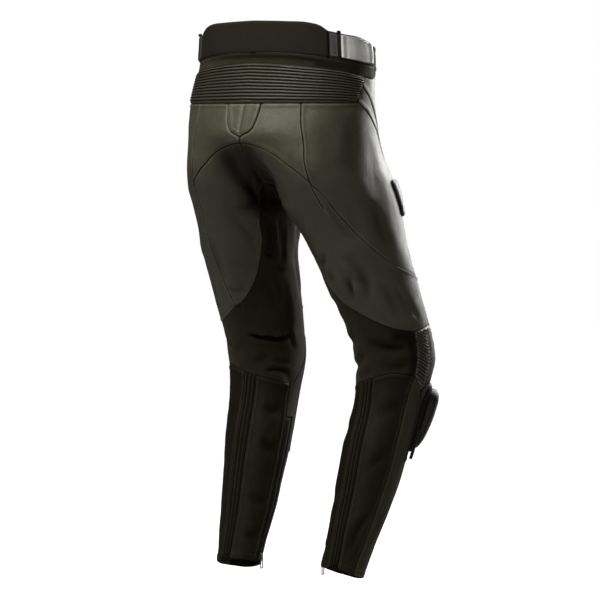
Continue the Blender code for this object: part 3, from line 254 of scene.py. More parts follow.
# soft creases: side (0 for both), places, depth (negative for a ridge) and half width
CREASES = [
    # between the buttocks, and the hang of the seat
    (0, [(0.985, 0.15), (0.978, 0.205), (0.965, 0.262)], 0.0075, 0.021),
    (0, [(0.96, 0.205), (0.9, 0.235), (0.85, 0.262)], 0.003, 0.014),
    (1, [(0.905, 0.212), (0.84, 0.238), (0.79, 0.275)], 0.0026, 0.01),
    (-1, [(0.9, 0.204), (0.845, 0.226), (0.8, 0.262)], 0.0026, 0.009),
    (-1, [(0.64, 0.17), (0.56, 0.2), (0.5, 0.215)], 0.0009, 0.008),
    (-1, [(0.19, 0.105), (0.17, 0.15), (0.15, 0.22)], 0.0018, 0.02),
    (-1, [(0.1, 0.25), (0.12, 0.3), (0.11, 0.345)], 0.0016, 0.013),
    (-1, [(0.18, 0.24), (0.2, 0.29), (0.19, 0.33)], -0.001, 0.01),
    (-1, [(0.5, 0.372), (0.488, 0.404), (0.486, 0.432)], 0.002, 0.0075),
    (-1, [(0.4, 0.35), (0.375, 0.392), (0.372, 0.436)], 0.0016, 0.012),
    (-1, [(0.435, 0.395), (0.4, 0.4), (0.36, 0.396)], 0.001, 0.006),
    (1, [(0.7, 0.2), (0.64, 0.26), (0.62, 0.33)], 0.0016, 0.016),
    (1, [(0.44, 0.32), (0.45, 0.37), (0.48, 0.41)], 0.0014, 0.012),
    # seat and hips
    (-1, [(0.93, 0.19), (0.86, 0.205), (0.76, 0.232)], 0.0022, 0.01),
    (1, [(0.94, 0.186), (0.86, 0.204), (0.78, 0.238)], 0.002, 0.011),
    (-1, [(0.955, 0.212), (0.9, 0.222), (0.84, 0.244)], 0.0016, 0.007),
    (1, [(0.955, 0.214), (0.885, 0.23)], 0.0014, 0.006),
    (-1, [(0.4, 0.12), (0.34, 0.17), (0.3, 0.215)], 0.0012, 0.02),
    (1, [(0.36, 0.125), (0.3, 0.19), (0.27, 0.24)], 0.0014, 0.018),
    (-1, [(-0.05, 0.15), (0.02, 0.21), (0.06, 0.27)], 0.0015, 0.017),
    (1, [(-0.08, 0.16), (0, 0.23), (0.04, 0.3)], 0.0013, 0.016),
    # back of the thighs, above the knit
    (-1, [(0.372, 0.262), (0.36, 0.3), (0.35, 0.33)], 0.001, 0.006),
    (-1, [(0.352, 0.3), (0.322, 0.306), (0.3, 0.302)], 0.0009, 0.0045),
    (-1, [(0.36, 0.312), (0.322, 0.32), (0.285, 0.318)], 0.0009, 0.005),
    (-1, [(0.425, 0.38), (0.47, 0.412), (0.505, 0.44)], 0.003, 0.008),
    (-1, [(0.33, 0.372), (0.36, 0.41), (0.4, 0.445)], 0.0016, 0.012),
    (-1, [(0.575, 0.352), (0.64, 0.368), (0.7, 0.372)], 0.0022, 0.007),
    (-1, [(0.56, 0.385), (0.62, 0.4), (0.665, 0.398)], 0.0016, 0.006),
    (-1, [(0.24, 0.402), (0.21, 0.44), (0.205, 0.47)], 0.0022, 0.013),
    (-1, [(0.145, 0.405), (0.125, 0.44), (0.11, 0.47)], 0.0016, 0.008),
    (-1, [(0.075, 0.43), (0.06, 0.455), (0.02, 0.474)], 0.0014, 0.007),
    (1, [(0.48, 0.424), (0.56, 0.427), (0.64, 0.423)], 0.0018, 0.006),
    (1, [(0.47, 0.44), (0.54, 0.444), (0.61, 0.44)], 0.0011, 0.005),
    (1, [(0.465, 0.455), (0.52, 0.458), (0.57, 0.452)], 0.0016, 0.005),
    (1, [(0.64, 0.3), (0.7, 0.318), (0.745, 0.345)], 0.002, 0.009),
    (1, [(0.56, 0.368), (0.64, 0.385), (0.7, 0.398)], 0.0014, 0.01),
    (1, [(0.3, 0.4), (0.28, 0.44), (0.27, 0.47)], 0.0018, 0.013),
    (1, [(0.15, 0.41), (0.13, 0.445), (0.1, 0.475)], 0.0015, 0.009),
    # knit between the legs
    (1, [(0.795, 0.278), (0.83, 0.312), (0.842, 0.352)], 0.004, 0.0055),
    (1, [(0.825, 0.282), (0.85, 0.3), (0.89, 0.312)], 0.0024, 0.0035),
    (1, [(0.85, 0.296), (0.868, 0.328), (0.872, 0.362)], 0.003, 0.0042),
    (1, [(0.895, 0.288), (0.908, 0.318), (0.905, 0.352)], 0.0028, 0.0045),
    (1, [(0.94, 0.296), (0.948, 0.33), (0.94, 0.378)], 0.0028, 0.005),
    (1, [(0.8, 0.352), (0.83, 0.362), (0.862, 0.356)], 0.0036, 0.005),
    (1, [(0.87, 0.378), (0.9, 0.388), (0.93, 0.384)], 0.002, 0.005),
    (1, [(0.915, 0.405), (0.925, 0.44), (0.905, 0.5)], 0.002, 0.011),
    (1, [(0.77, 0.395), (0.8, 0.43), (0.8, 0.47)], 0.0016, 0.012),
    (-1, [(0.8, 0.272), (0.85, 0.3), (0.87, 0.345)], 0.0036, 0.007),
    (-1, [(0.87, 0.278), (0.9, 0.305), (0.915, 0.34)], 0.0028, 0.006),
    (-1, [(0.93, 0.29), (0.945, 0.33), (0.93, 0.385)], 0.003, 0.006),
    (-1, [(0.8, 0.38), (0.86, 0.4), (0.9, 0.44)], 0.002, 0.01),
    (-1, [(0.76, 0.44), (0.84, 0.452), (0.92, 0.45)], 0.0026, 0.008),
    (0, [(-0.95, 0.275), (-0.9, 0.3), (-0.87, 0.345)], 0.0028, 0.007),
    (0, [(-0.9, 0.26), (-0.86, 0.285), (-0.83, 0.325)], 0.002, 0.006),
    (1, [(-0.93, 0.35), (-0.88, 0.4), (-0.85, 0.45)], 0.0022, 0.009),
    (-1, [(-0.95, 0.38), (-0.9, 0.42), (-0.85, 0.44)], 0.0022, 0.008),
    # hollow of the knees
    (1, [(0.56, 0.512), (0.7, 0.517), (0.82, 0.52), (0.93, 0.512)], 0.0075, 0.0036),
    (1, [(0.89, 0.5), (0.93, 0.52), (0.945, 0.54)], 0.003, 0.006),
    (1, [(0.69, 0.58), (0.79, 0.578), (0.9, 0.584)], 0.0045, 0.0042),
    (1, [(0.8, 0.59), (0.85, 0.6), (0.9, 0.612)], -0.002, 0.007),
    (1, [(0.74, 0.56), (0.82, 0.566), (0.88, 0.56)], 0.0022, 0.005),
    (1, [(0.7, 0.545), (0.64, 0.56), (0.58, 0.566)], 0.0018, 0.01),
    (1, [(0.3, 0.53), (0.4, 0.545), (0.5, 0.548)], 0.002, 0.01),
    (1, [(0.18, 0.515), (0.25, 0.535), (0.33, 0.54)], 0.0018, 0.008),
    (-1, [(0.16, 0.512), (0.27, 0.525), (0.4, 0.522), (0.52, 0.515)], 0.0028, 0.009),
    (-1, [(0.17, 0.548), (0.3, 0.56), (0.43, 0.556)], 0.002, 0.008),
    (-1, [(0.62, 0.51), (0.74, 0.516), (0.88, 0.524)], 0.0022, 0.008),
    (-1, [(0.7, 0.56), (0.82, 0.566), (0.93, 0.556)], 0.0026, 0.007),
    (-1, [(0.56, 0.54), (0.66, 0.552), (0.76, 0.548)], 0.0026, 0.008),
    (-1, [(0.5, 0.566), (0.59, 0.573), (0.66, 0.571)], 0.002, 0.006),
    # front of the thighs, lap and knees
    (1, [(-0.86, 0.2), (-0.7, 0.216), (-0.54, 0.21)], 0.0022, 0.012),
    (-1, [(-0.86, 0.206), (-0.72, 0.226), (-0.56, 0.228)], 0.0022, 0.011),
    (1, [(-0.88, 0.232), (-0.74, 0.256), (-0.6, 0.262)], 0.0018, 0.01),
    (-1, [(-0.8, 0.25), (-0.68, 0.272), (-0.52, 0.276)], 0.0016, 0.012),
    (1, [(-0.5, 0.15), (-0.44, 0.19), (-0.42, 0.24)], 0.0013, 0.015),
    (-1, [(-0.52, 0.14), (-0.46, 0.185), (-0.45, 0.225)], 0.0013, 0.014),
    (1, [(-0.72, 0.43), (-0.6, 0.446), (-0.46, 0.442)], 0.0016, 0.009),
    (-1, [(-0.7, 0.42), (-0.58, 0.438), (-0.44, 0.436)], 0.0016, 0.01),
    (1, [(-0.6, 0.5), (-0.45, 0.512), (-0.3, 0.508)], 0.0012, 0.012),
    (-1, [(-0.62, 0.508), (-0.48, 0.52), (-0.33, 0.512)], 0.0012, 0.012),
    # calves, shins and ankles
    (1, [(0.72, 0.64), (0.8, 0.652), (0.88, 0.648)], 0.002, 0.009),
    (1, [(0.74, 0.7), (0.82, 0.72), (0.9, 0.722)], 0.002, 0.01),
    (1, [(0.7, 0.8), (0.78, 0.815), (0.88, 0.812)], 0.0015, 0.01),
    (1, [(0.7, 0.87), (0.8, 0.878), (0.9, 0.872)], 0.0018, 0.008),
    (1, [(0.26, 0.64), (0.34, 0.655), (0.42, 0.65)], 0.0013, 0.011),
    (1, [(0.22, 0.74), (0.3, 0.76), (0.38, 0.765)], 0.0012, 0.012),
    (-1, [(0.22, 0.62), (0.32, 0.64), (0.42, 0.64)], 0.0013, 0.012),
    (-1, [(0.2, 0.705), (0.28, 0.73), (0.37, 0.74)], 0.0013, 0.011),
    (-1, [(0.2, 0.82), (0.27, 0.845), (0.3, 0.89)], 0.002, 0.008),
    (-1, [(0.66, 0.66), (0.76, 0.68), (0.88, 0.678)], 0.0018, 0.01),
    (-1, [(0.66, 0.78), (0.76, 0.8), (0.88, 0.8)], 0.0014, 0.01),
    (-1, [(0.64, 0.886), (0.74, 0.892), (0.86, 0.886)], 0.002, 0.007),
    (1, [(-0.8, 0.78), (-0.62, 0.8), (-0.42, 0.796)], 0.0015, 0.012),
    (-1, [(-0.78, 0.8), (-0.58, 0.824), (-0.4, 0.82)], 0.0015, 0.012),
    (1, [(-0.8, 0.88), (-0.6, 0.894), (-0.36, 0.9)], 0.0018, 0.009),
    (-1, [(-0.8, 0.87), (-0.62, 0.888), (-0.42, 0.888)], 0.0018, 0.009),
    (1, [(0.02, 0.85), (0.05, 0.88), (0.04, 0.905)], 0.001, 0.01),
    (-1, [(-0.02, 0.8), (0.04, 0.84), (0.05, 0.88)], 0.0012, 0.01),
]


def smooth(where, keys, values):
    """A smooth line through values at keys. Its slope at each key is that of both neighbours."""
    keys = np.asarray(keys, float)
    values = np.asarray(values, float).reshape(len(keys), -1)
    gaps = np.diff(keys)
    slopes = np.diff(values, axis=0) / gaps[:, None]
    bend = np.zeros_like(values)
    before, after = gaps[:-1, None], gaps[1:, None]
    bend[1:-1] = (slopes[1:] * before + slopes[:-1] * after) / (before + after)
    bend[0] = slopes[0]
    bend[-1] = slopes[-1]
    where = np.clip(where, keys[0], keys[-1])
    i = np.clip(np.searchsorted(keys, where) - 1, 0, len(keys) - 2)
    h = gaps[i][..., None]
    u = ((where - keys[i]) / gaps[i])[..., None]
    v = 1 - u
    return (values[i] * (1 + 2 * u) * v * v + bend[i] * h * u * v * v
            + values[i + 1] * u * u * (3 - 2 * u) - bend[i + 1] * h * u * u * v)


def rounded(part):
    """A cosine or sine, bent towards a squarer oval."""
    return np.sign(part) * np.abs(part) ** (2 / OVAL)


def skin(turn, drop):
    """The skin's place on the wearer's left half. The right half is its mirror image."""
    turn = np.asarray(turn, float)
    drop = np.asarray(drop, float)
    reach = smooth(drop, SECTIONS[:, 0], SECTIONS[:, 1:])
    outer, inner, back, front = (reach[..., k] for k in range(4))
    inner = np.maximum(inner, 0)
    middle = (back + front) / 2
    depth = (back - front) / 2
    half = turn * math.pi / 2
    body_x = outer * rounded(np.cos(half))
    body_y = middle + depth * rounded(np.sin(half))
    leg_x = (outer + inner) / 2 + (outer - inner) / 2 * np.cos(turn * math.pi)
    leg_y = middle + depth * np.sin(turn * math.pi)
    # between the seat and the crotch the hip oval gives way to the leg's loop
    left = np.clip((CROTCH - drop) / (CROTCH - SEAT_TURNS_IN), 0, 1)
    at_middle = 1 - np.sqrt(1 - (1 - left) ** 2)
    at_side = 1 - left * left * (3 - 2 * left)
    near = np.abs(turn) ** 4
    leg = at_side * (1 - near) + at_middle * near
    return np.stack([body_x * (1 - leg) + leg_x * leg, body_y * (1 - leg) + leg_y * leg, -drop], -1)


def outward(turn, drop):
    """The skin's outward direction on the wearer's left half."""
    step = 1e-3
    along = skin(turn + step, drop) - skin(turn - step, drop)
    down = skin(turn, drop + step) - skin(turn, drop - step)
    normal = np.cross(down, along)
    on_middle = np.abs(np.abs(turn) - 1) < TINY
    normal[on_middle & (drop < CROTCH), 0] = 0
    normal[on_middle & (np.abs(drop - CROTCH) < TINY)] = (0, 0, -1)
    return normal / np.linalg.norm(normal, axis=-1, keepdims=True)


def mirrored(points, side):
    """Points or directions of the left half, turned over where side is -1."""
    return points * np.stack([side] + [1 + 0 * side] * (points.shape[-1] - 1), -1)


def girth_table():
    """Length of one unit of turn at each level."""
    drops = np.arange(-0.07, 0.96, 0.01)
    turns = np.linspace(-1, 1, 81)
    rings = skin(turns[None, :], drops[:, None] + 0 * turns[None, :])
    lengths = np.linalg.norm(np.diff(rings, axis=1), axis=2).sum(1)
    return drops, lengths / 2


GIRTH_DROPS, GIRTHS = girth_table()


def girth_at(drop):
    return np.interp(drop, GIRTH_DROPS, GIRTHS)


def flat(places):
    """Lays (turn, drop) places out flat, in metres."""
    places = np.asarray(places, float)
    return np.stack([places[..., 0] * girth_at(places[..., 1]), places[..., 1]], -1)


def unflat(spots):
    """The (turn, drop) places of flat spots."""
    return np.stack([spots[..., 0] / girth_at(spots[..., 1]), spots[..., 1]], -1)


def line_through(places, step=SEAM_STEP, count=None):
    """Places along a smooth line through the given ones, which all stay on it."""
    places = np.array(places, float)
    spans = np.linalg.norm(np.diff(flat(places), axis=0), axis=1)
    keys = np.concatenate([[0], np.cumsum(spans)])
    stops = [0.0]
    for start, span in zip(keys, spans):
        pieces = count or max(1, math.ceil(span / step))
        stops += [start + span * (k + 1) / pieces for k in range(pieces)]
    line = smooth(np.array(stops), keys, places)
    line[:, 0] = np.clip(line[:, 0], -1, 1)
    return line


# short lines that ribs or turned edges meet have closer points
SEAM_COUNTS = {"cb_waistband": 48, "cb_band": 14, "cb_accordion": 108, "cb_pad": 50,
               "accordion_end": 16, "accordion_end_low": 28, "zip_mid_back": 128,
               "zip_mid_front": 128, "calf_top_gusset": 24, "hem_gusset": 24}


def seam_lines():
    lines = {}
    for name, stops in SEAMS.items():
        places = [KNOTS[stop] if isinstance(stop, str) else stop for stop in stops]
        lines[name] = np.round(line_through(places, count=SEAM_COUNTS.get(name)), 9)
    return lines


LINES = seam_lines()


def outline(names):
    """Joins seams end to end into one closed outline, turning each as needed."""
    path, *rest = (LINES[name] for name in names)
    if np.allclose(path[0], rest[0][0]) or np.allclose(path[0], rest[0][-1]):
        path = path[::-1]
    for line in rest:
        if not np.allclose(path[-1], line[0]):
            line = line[::-1]
        if not np.allclose(path[-1], line[0]):
            raise ValueError("these seams don't follow each other: " + ", ".join(names))
        path = np.vstack([path, line[1:]])
    return path[:-1]


def inside(points, ring):
    """Which flat points lie within a closed flat ring."""
    x, y = points[:, 0, None], points[:, 1, None]
    (ax, ay), (bx, by) = ring.T, np.roll(ring, -1, axis=0).T
    rise = np.where(by == ay, 1, by - ay)
    crosses = (ay > y) != (by > y)
    return (crosses & (x < ax + (y - ay) * (bx - ax) / rise)).sum(1) % 2 == 1


def beside(points, line, closed=False):
    """Signed distance from flat points to a flat line, and how far along it they lie, 0 to 1."""
    if len(points) > 4000:
        parts = [beside(part, line, closed) for part in np.array_split(points, len(points) // 3000 + 1)]
        return tuple(np.concatenate(values) for values in zip(*parts))
    line = np.vstack([line, line[:1]]) if closed else line
    starts, spans = line[:-1], np.diff(line, axis=0)
    lengths = np.linalg.norm(spans, axis=1)
    before = np.concatenate([[0], np.cumsum(lengths)])
    gap = points[:, None] - starts
    u = np.clip((gap * spans).sum(-1) / (lengths ** 2 + 1e-18), 0, 1)
    left = gap - u[..., None] * spans
    far = np.hypot(left[..., 0], left[..., 1])
    k = far.argmin(1)
    row = np.arange(len(points))
    gap, span = gap[row, k], spans[k]
    turned = gap[:, 0] * span[:, 1] - gap[:, 1] * span[:, 0]
    share = (before[k] + u[row, k] * lengths[k]) / before[-1]
    return far[row, k] * np.where(turned < 0, -1, 1), share


def distance(points, line, closed=False):
    return np.abs(beside(points, line, closed)[0])


def wander(points, scale, seed):
    """Smooth noise from -1 to 1 over places in space, the same on each run."""
    grid = points / scale
    cell = np.floor(grid)
    part = grid - cell
    part = part * part * (3 - 2 * part)
    total = np.zeros(len(points))
    for corner in np.ndindex(2, 2, 2):
        spot = cell + corner
        value = np.sin(spot @ (127.1, 311.7, 74.7) + seed * 19.3) * 43758.5453
        weight = np.prod(np.where(np.array(corner) == 1, part, 1 - part), axis=1)
        total += weight * (2 * (value - np.floor(value)) - 1)
    return total


def ease(value, low, high):
    """0 below low, 1 above high and smooth between."""
    part = np.clip((value - low) / (high - low), 0, 1)
    return part * part * (3 - 2 * part)


def hump(value, at, width):
    """1 where the value is at the middle of a hump, and towards 0 on both sides of it."""
    return np.exp(-((value - at) / width) ** 2)


# ---------------------------------------------------------------- points and triangles
def inward(line, ring):
    """Unit directions square to a flat line, towards the inside of its flat ring."""
    along = np.gradient(line, axis=0)
    across = np.stack([-along[:, 1], along[:, 0]], -1)
    across /= np.linalg.norm(across, axis=1)[:, None]
    middle = len(line) // 2
    probe = line[middle] + across[middle] * INSIDE_PROBE
    return across if inside(probe[None], ring)[0] else -across


def seam_rows(ring, seams, rows):
    """Rows of spots beside a ring's seams, which carry the form of the turned edge."""
    lines = [flat(LINES[name]) for name in seams]
    found = []
    for line in lines:
        across = inward(line, ring)
        for row in rows:
            spots = line + across * row
            keep = inside(spots, ring) & (distance(spots, ring, True) > ROW_TO_RIM * row)
            for other in lines:
                keep &= distance(spots, other) > ROW_TO_SEAM * row
            found.append(spots[keep])
    return np.vstack(found)


def sparse(spots, cell):
    """Leaves out spots that share a small square with an earlier one."""
    _, first = np.unique(np.round(spots / cell).astype(int), axis=0, return_index=True)
    return spots[np.sort(first)]


def even_grid(ring, step):
    """Flat spots of an even triangular grid over a flat ring."""
    low, high = ring.min(0), ring.max(0)
    rows = []
    for row, drop in enumerate(np.arange(low[1] + step / 2, high[1], step * 0.87)):
        across = np.arange(low[0] - step, high[0] + step, step) + (row % 2) * step / 2
        rows.append(np.stack([across, np.full(len(across), drop)], -1))
    return np.vstack(rows)


def triangles(ring, places, spread=flat):
    """(places, triangles) that fill the ring. Spread lays the places out flat."""
    every = np.vstack([ring, places])
    edges = [(k, (k + 1) % len(ring)) for k in range(len(ring))]
    spots = spread(every)
    made = delaunay_2d_cdt([tuple(spot) for spot in spots], edges, [], 0, 1e-8, True)
    origin = np.array([ids[0] for ids in made[3]])
    faces = origin[np.array(made[2])]
    faces = faces[inside(spots[faces].mean(1), spots[:len(ring)])]
    a, b, c = (spots[faces[:, k]] for k in range(3))
    area = doubled_area(b - a, c - a)
    faces[area < 0] = faces[area < 0][:, ::-1]
    return every, faces[np.abs(area) > 1e-11]


def filled_ring(seams, step, kind):
    """The points and triangles of one ring of seams."""
    ring = outline(seams)
    spots_ring = flat(ring)
    beside_lines = [name for name in seams if name not in MIDDLE_LINES]
    beside_lines += [name for name in seams if name in kind.grooves]
    if kind.places:
        spots = flat(np.array(kind.places()))
        rows, room, to_rim = RIB_ROWS_BESIDE, RIB_ROOM, RIB_TO_RIM
    else:
        spots = even_grid(spots_ring, step)
        to_rim = GRID_TO_RIM * step
        rows, room = ROWS, ROWS[-1] + to_rim
    keep = inside(spots, spots_ring) & (distance(spots, spots_ring, True) > to_rim)
    for name in beside_lines:
        keep &= distance(spots, flat(LINES[name])) > room
    beside_rows = sparse(seam_rows(spots_ring, beside_lines, rows), ROW_CELL)
    return triangles(ring, unflat(np.vstack([beside_rows, spots[keep]])), kind.spread)


# ---------------------------------------------------------------- ribs
def back_rib_top(turn):
    line = LINES["band_low"][::-1]
    return np.interp(turn, line[:, 0], line[:, 1])


def back_rib_share(turn, drop):
    top = back_rib_top(turn)
    return (drop - top) / (YOKE - top)


def back_rib_places():
    places = []
    for share in (np.arange(BACK_RIBS)[:, None] + RIB_STOPS).ravel() / BACK_RIBS:
        for turn in np.linspace(*BACK_RIB_COLUMNS):
            top = back_rib_top(turn)
            places.append((turn, top + share * (YOKE - top)))
    return places


# a kind's spread lays its rows of points out evenly for the triangles between them
def back_rib_spread(places):
    turn, drop = places.T
    return np.stack([turn * girth_at(drop), back_rib_share(turn, drop) * 0.55], -1)


def tube(share):
    """Height across ribs that are filled tubes: 1 at a crest and 0 in the stitched valley."""
    part = share - np.floor(share)
    return (4 * part * (1 - part)) ** RIB_ROUNDNESS


def back_rib_height(turn, drop, look):
    return look.back_rib * tube(BACK_RIBS * back_rib_share(turn, drop))


def knee_middle(drop):
    """Turn of the line where the knee's two columns of ribs meet."""
    return np.interp(drop, (KNEE_HIGH, KNEE_LOW), KNEE_MIDDLE)


def knee_level(turn, drop):
    aside = (turn - knee_middle(drop)) * girth_at(drop)
    return aside, drop + KNEE_RIB_SLANT * np.abs(aside)


def knee_places():
    pitch = (KNEE_LOW - KNEE_HIGH) / bpy.context.scene.trousers_ribs.knee_ribs
    places = []
    for row in range(-20, 60):
        for stop in KNEE_STOPS:
            level = KNEE_HIGH + pitch * (row + stop)
            drop = level - KNEE_RIB_SLANT * np.abs(KNEE_COLUMNS)
            turn = knee_middle(drop) + KNEE_COLUMNS / girth_at(drop)
            places += list(zip(turn, drop))
    return places


def knee_spread(places):
    aside, level = knee_level(*places.T)
    return np.stack([aside, level * 4], -1)


def knee_rib_height(turn, drop, look):
    pitch = (KNEE_LOW - KNEE_HIGH) / look.knee_ribs
    level = (knee_level(turn, drop)[1] - KNEE_HIGH) / pitch
    ribbed = ease(turn, *KNEE_PLAIN)
    return look.knee_rib * tube(level) * ribbed + look.knee_rib * (1 - ribbed)


def gusset_share(turn, drop):
    outer, inner = LINES["gusset_outer"], LINES["gusset_inner"]
    left = np.interp(drop, outer[:, 1], outer[:, 0])
    right = np.interp(drop, inner[:, 1], inner[:, 0])
    return (turn - left) / (right - left), left, right


def gusset_places():
    places = []
    for drop in GUSSET_ROWS:
        _, left, right = gusset_share(0, drop)
        shares = np.concatenate([k + np.array(GUSSET_STOPS) for k in range(GUSSET_RIBS)])
        places += [(left + (right - left) * share / GUSSET_RIBS, drop) for share in shares[1:]]
    return places


def gusset_spread(places):
    turn, drop = places.T
    return np.stack([gusset_share(turn, drop)[0] * 0.12, drop], -1)


def gusset_rib_height(turn, drop, look):
    share = gusset_share(turn, drop)[0]
    hem = ease(drop, *GUSSET_HEM)
    return look.gusset_rib * tube(GUSSET_RIBS * share) * (1 - GUSSET_HEM_PRESS * hem)


def zip_height(turn, drop, look):
    return ZIP_RISE * ease(np.abs(turn), ZIP_TEETH_TURN - 0.008, ZIP_TEETH_TURN)


def pad_height(turn, drop, look):
    """The tailbone pad, with a stitched line down its middle."""
    aside = (1 - turn) * girth_at(drop)
    return PAD_RISE - PAD_GROOVE * hump(aside, 0, PAD_GROOVE_WIDTH)


def level(height):
    """A height that is the same all over a piece."""
    return lambda turn, drop, look: np.full(len(turn), height)


# how a kind of cloth is raised and filled with points, with the middle lines that are grooves
# in it; the nearer narrow is to 0, the wider is the shade painted into the valleys between ribs
Kind = namedtuple("Kind", "height places spread grooves narrow",
                  defaults=(level(0.0), None, flat, (), 0.5))
PLAIN = Kind()
BACK_RIBBED = Kind(back_rib_height, back_rib_places, back_rib_spread, narrow=0.36)
KNEE_RIBBED = Kind(knee_rib_height, knee_places, knee_spread, narrow=0.17)
GUSSET = Kind(gusset_rib_height, gusset_places, gusset_spread)
ZIP = Kind(zip_height)
RAISED_BAND = Kind(level(BAND_RISE))
PAD = Kind(pad_height, grooves=("cb_pad",))

# ---------------------------------------------------------------- the cloth's pieces
FRONT_EDGE = " cf_lower stretch_front knee_top side_lower side_upper pocket_out accordion_end band_tail"
# piece: finish, kind, and the seams of each of its rings
PAIRED = {
    "waistband_side": ("waistband", PLAIN, "top_side side_end waist_side back_end"),
    "waistband_front": ("waistband", PLAIN,
                        "top_front cf_waistband waist_fly waist_front waist_hip side_end"),
    "seat": ("leather", PLAIN, "yoke_seat hip arch cb_seat pad_edge"),
    "back_thigh": ("leather", PLAIN, "arch back_thigh stretch_back cb_lower"),
    "hip": ("leather", PLAIN, "yoke_side hip arch_side side_upper pocket_in"),
    "side_thigh": ("leather", PLAIN,
                   "arch_side side_lower knee_top_corner knee_top_side leather_hem back_thigh"),
    "hip_strip": ("leather", PLAIN, "accordion_end_low pocket_in pocket_out"),
    "stretch": ("knit", PLAIN,
                "stretch_back leather_hem knee_back_edge calf_top_out calf_top_gusset "
                "calf_top_in stretch_end inseam_back crotch_back",
                "stretch_front stretch_knee stretch_shin inseam_front crotch_front"),
    "knee_accordion": ("leather_rib", KNEE_RIBBED,
                       "knee_top_side rib_low_front rib_low_back knee_back_edge"),
    "knee_panel": ("leather_dark", PLAIN,
                   "knee_top_corner knee_top stretch_knee knee_inner_edge knee_low strip_upper "
                   "rib_low_front"),
    "shin_strip": ("leather_strip", PLAIN,
                   "rib_low_back strip_upper strip_lower hem_strip strip_back"),
    "shin_panel": ("leather_dark", PLAIN, "stretch_end medial_edge zip_top_back shin_mid_back",
                   "stretch_shin shin_mid_front zip_top_front zip_edge_front hem_shin "
                   "strip_lower knee_low knee_inner_edge"),
    "calf_outer": ("leather_dark", PLAIN, "calf_top_out strip_back hem_calf_out gusset_outer"),
    "calf_gusset": ("knit_rib", GUSSET, "calf_top_gusset gusset_outer hem_gusset gusset_inner"),
    "calf_inner": ("leather_dark", PLAIN,
                   "calf_top_in gusset_inner hem_calf_in zip_edge_back medial_edge"),
    "ankle_zip": ("zip_tape", ZIP, "zip_top_back zip_edge_back hem_zip_back zip_mid_back",
                  "zip_top_front zip_edge_front hem_zip_front zip_mid_front"),
}
ACROSS = {
    "waistband_back": ("waistband", RAISED_BAND, "top_back back_end waist_back cb_waistband"),
    "stretch_band": ("knit", PLAIN, "waist_back waist_side waist_hip band_tail band_low cb_band"),
    "back_accordion": ("leather", BACK_RIBBED,
                       "band_low accordion_end accordion_end_low yoke_side yoke_seat yoke_pad "
                       "cb_accordion"),
    "tailbone_pad": ("leather", PAD, "yoke_pad pad_edge cb_pad"),
}
SINGLE = {
    "front_thigh_left": ("leather", PLAIN, "waist_front fly_edge" + FRONT_EDGE),
    "front_thigh_right": ("leather", PLAIN, "waist_front waist_fly cf_fly" + FRONT_EDGE),
    "fly_flap": ("leather", PLAIN, "waist_fly cf_fly fly_edge"),
}
PIECES = {name: ([ring.split() for ring in rings], finish, kind)
          for name, (finish, kind, *rings) in {**PAIRED, **ACROSS, **SINGLE}.items()}


def seams_of(name):
    """The piece's real seams, once each."""
    found = []
    for ring in PIECES[name][0]:
        found += [seam for seam in ring if seam not in MIDDLE_LINES and seam not in found]
    return found


# painted shade in broad hollows, along the waistband's lower edge and at the accordion's end: side (0 for
# both), places, half width, darkness
SHADES = (
    (0, [(0.985, 0.178), (0.965, 0.205), (0.925, 0.236)], 0.028, 0.9),
    (1, [(0.88, 0.186), (0.835, 0.22), (0.78, 0.258)], 0.033, 0.93),
    (0, [(0.96, 0.226), (0.88, 0.246), (0.8, 0.27)], 0.022, 0.99),
    (1, [(0.805, 0.232), (0.765, 0.254), (0.775, 0.282)], 0.018, 0.99),
    (1, [(0.735, 0.262), (0.785, 0.268), (0.85, 0.268)], 0.017, 0.99),
    (1, [(0.76, 0.275), (0.72, 0.33), (0.66, 0.4)], 0.034, 0.3),
    (0, [(1, 0), (0.72, 0.003), (0.43, 0.012), (0.1, 0.021), (-0.15, 0.028)], 0.0042, 0.85),
    (0, [(0.52, 0.014), (0.25, 0.022), (0.03, 0.031)], 0.0095, 0.78),
    (0, [(0.03, 0.042), (0.055, 0.056), (0.1, 0.079)], 0.0032, 0.85),
    (1, [(0.8, 0.262), (0.83, 0.3), (0.84, 0.352)], 0.012, 0.55),
    (1, [(0.89, 0.42), (0.915, 0.455), (0.905, 0.505)], 0.012, 0.55),
    (-1, [(0.26, 0.503), (0.175, 0.503), (0.115, 0.512)], 0.012, 0.92),
    (-1, [(0.16, 0.515), (0.155, 0.545), (0.16, 0.572)], 0.01, 0.92),
    (1, [(0.94, 0.625), (0.935, 0.655), (0.925, 0.7)], 0.008, 0.45),
)
CREASE_LINES = [(side, flat(line_through(places, CREASE_STEP)), depth, width)
                for side, places, depth, width in CREASES]
# creases get painted shade in step with their depth, up to the darkest below
VALLEY_DEPTH = 0.0040    # depth of a crease that is as dark as a fold could be
VALLEY_DARKEST = 0.75    # the darkest that creases get
BANKS = ((0.42, 2.1, 1.6), (0.22, -2.2, 2))      # height, place in half widths, spread
MIDDLE_FADE = 0.014      # how near the middle a one-sided crease starts to fade out
UNEVEN = ((0.0010, 0.060, 1), (0.0005, 0.022, 2))    # height, size and seed of the cloth's waves


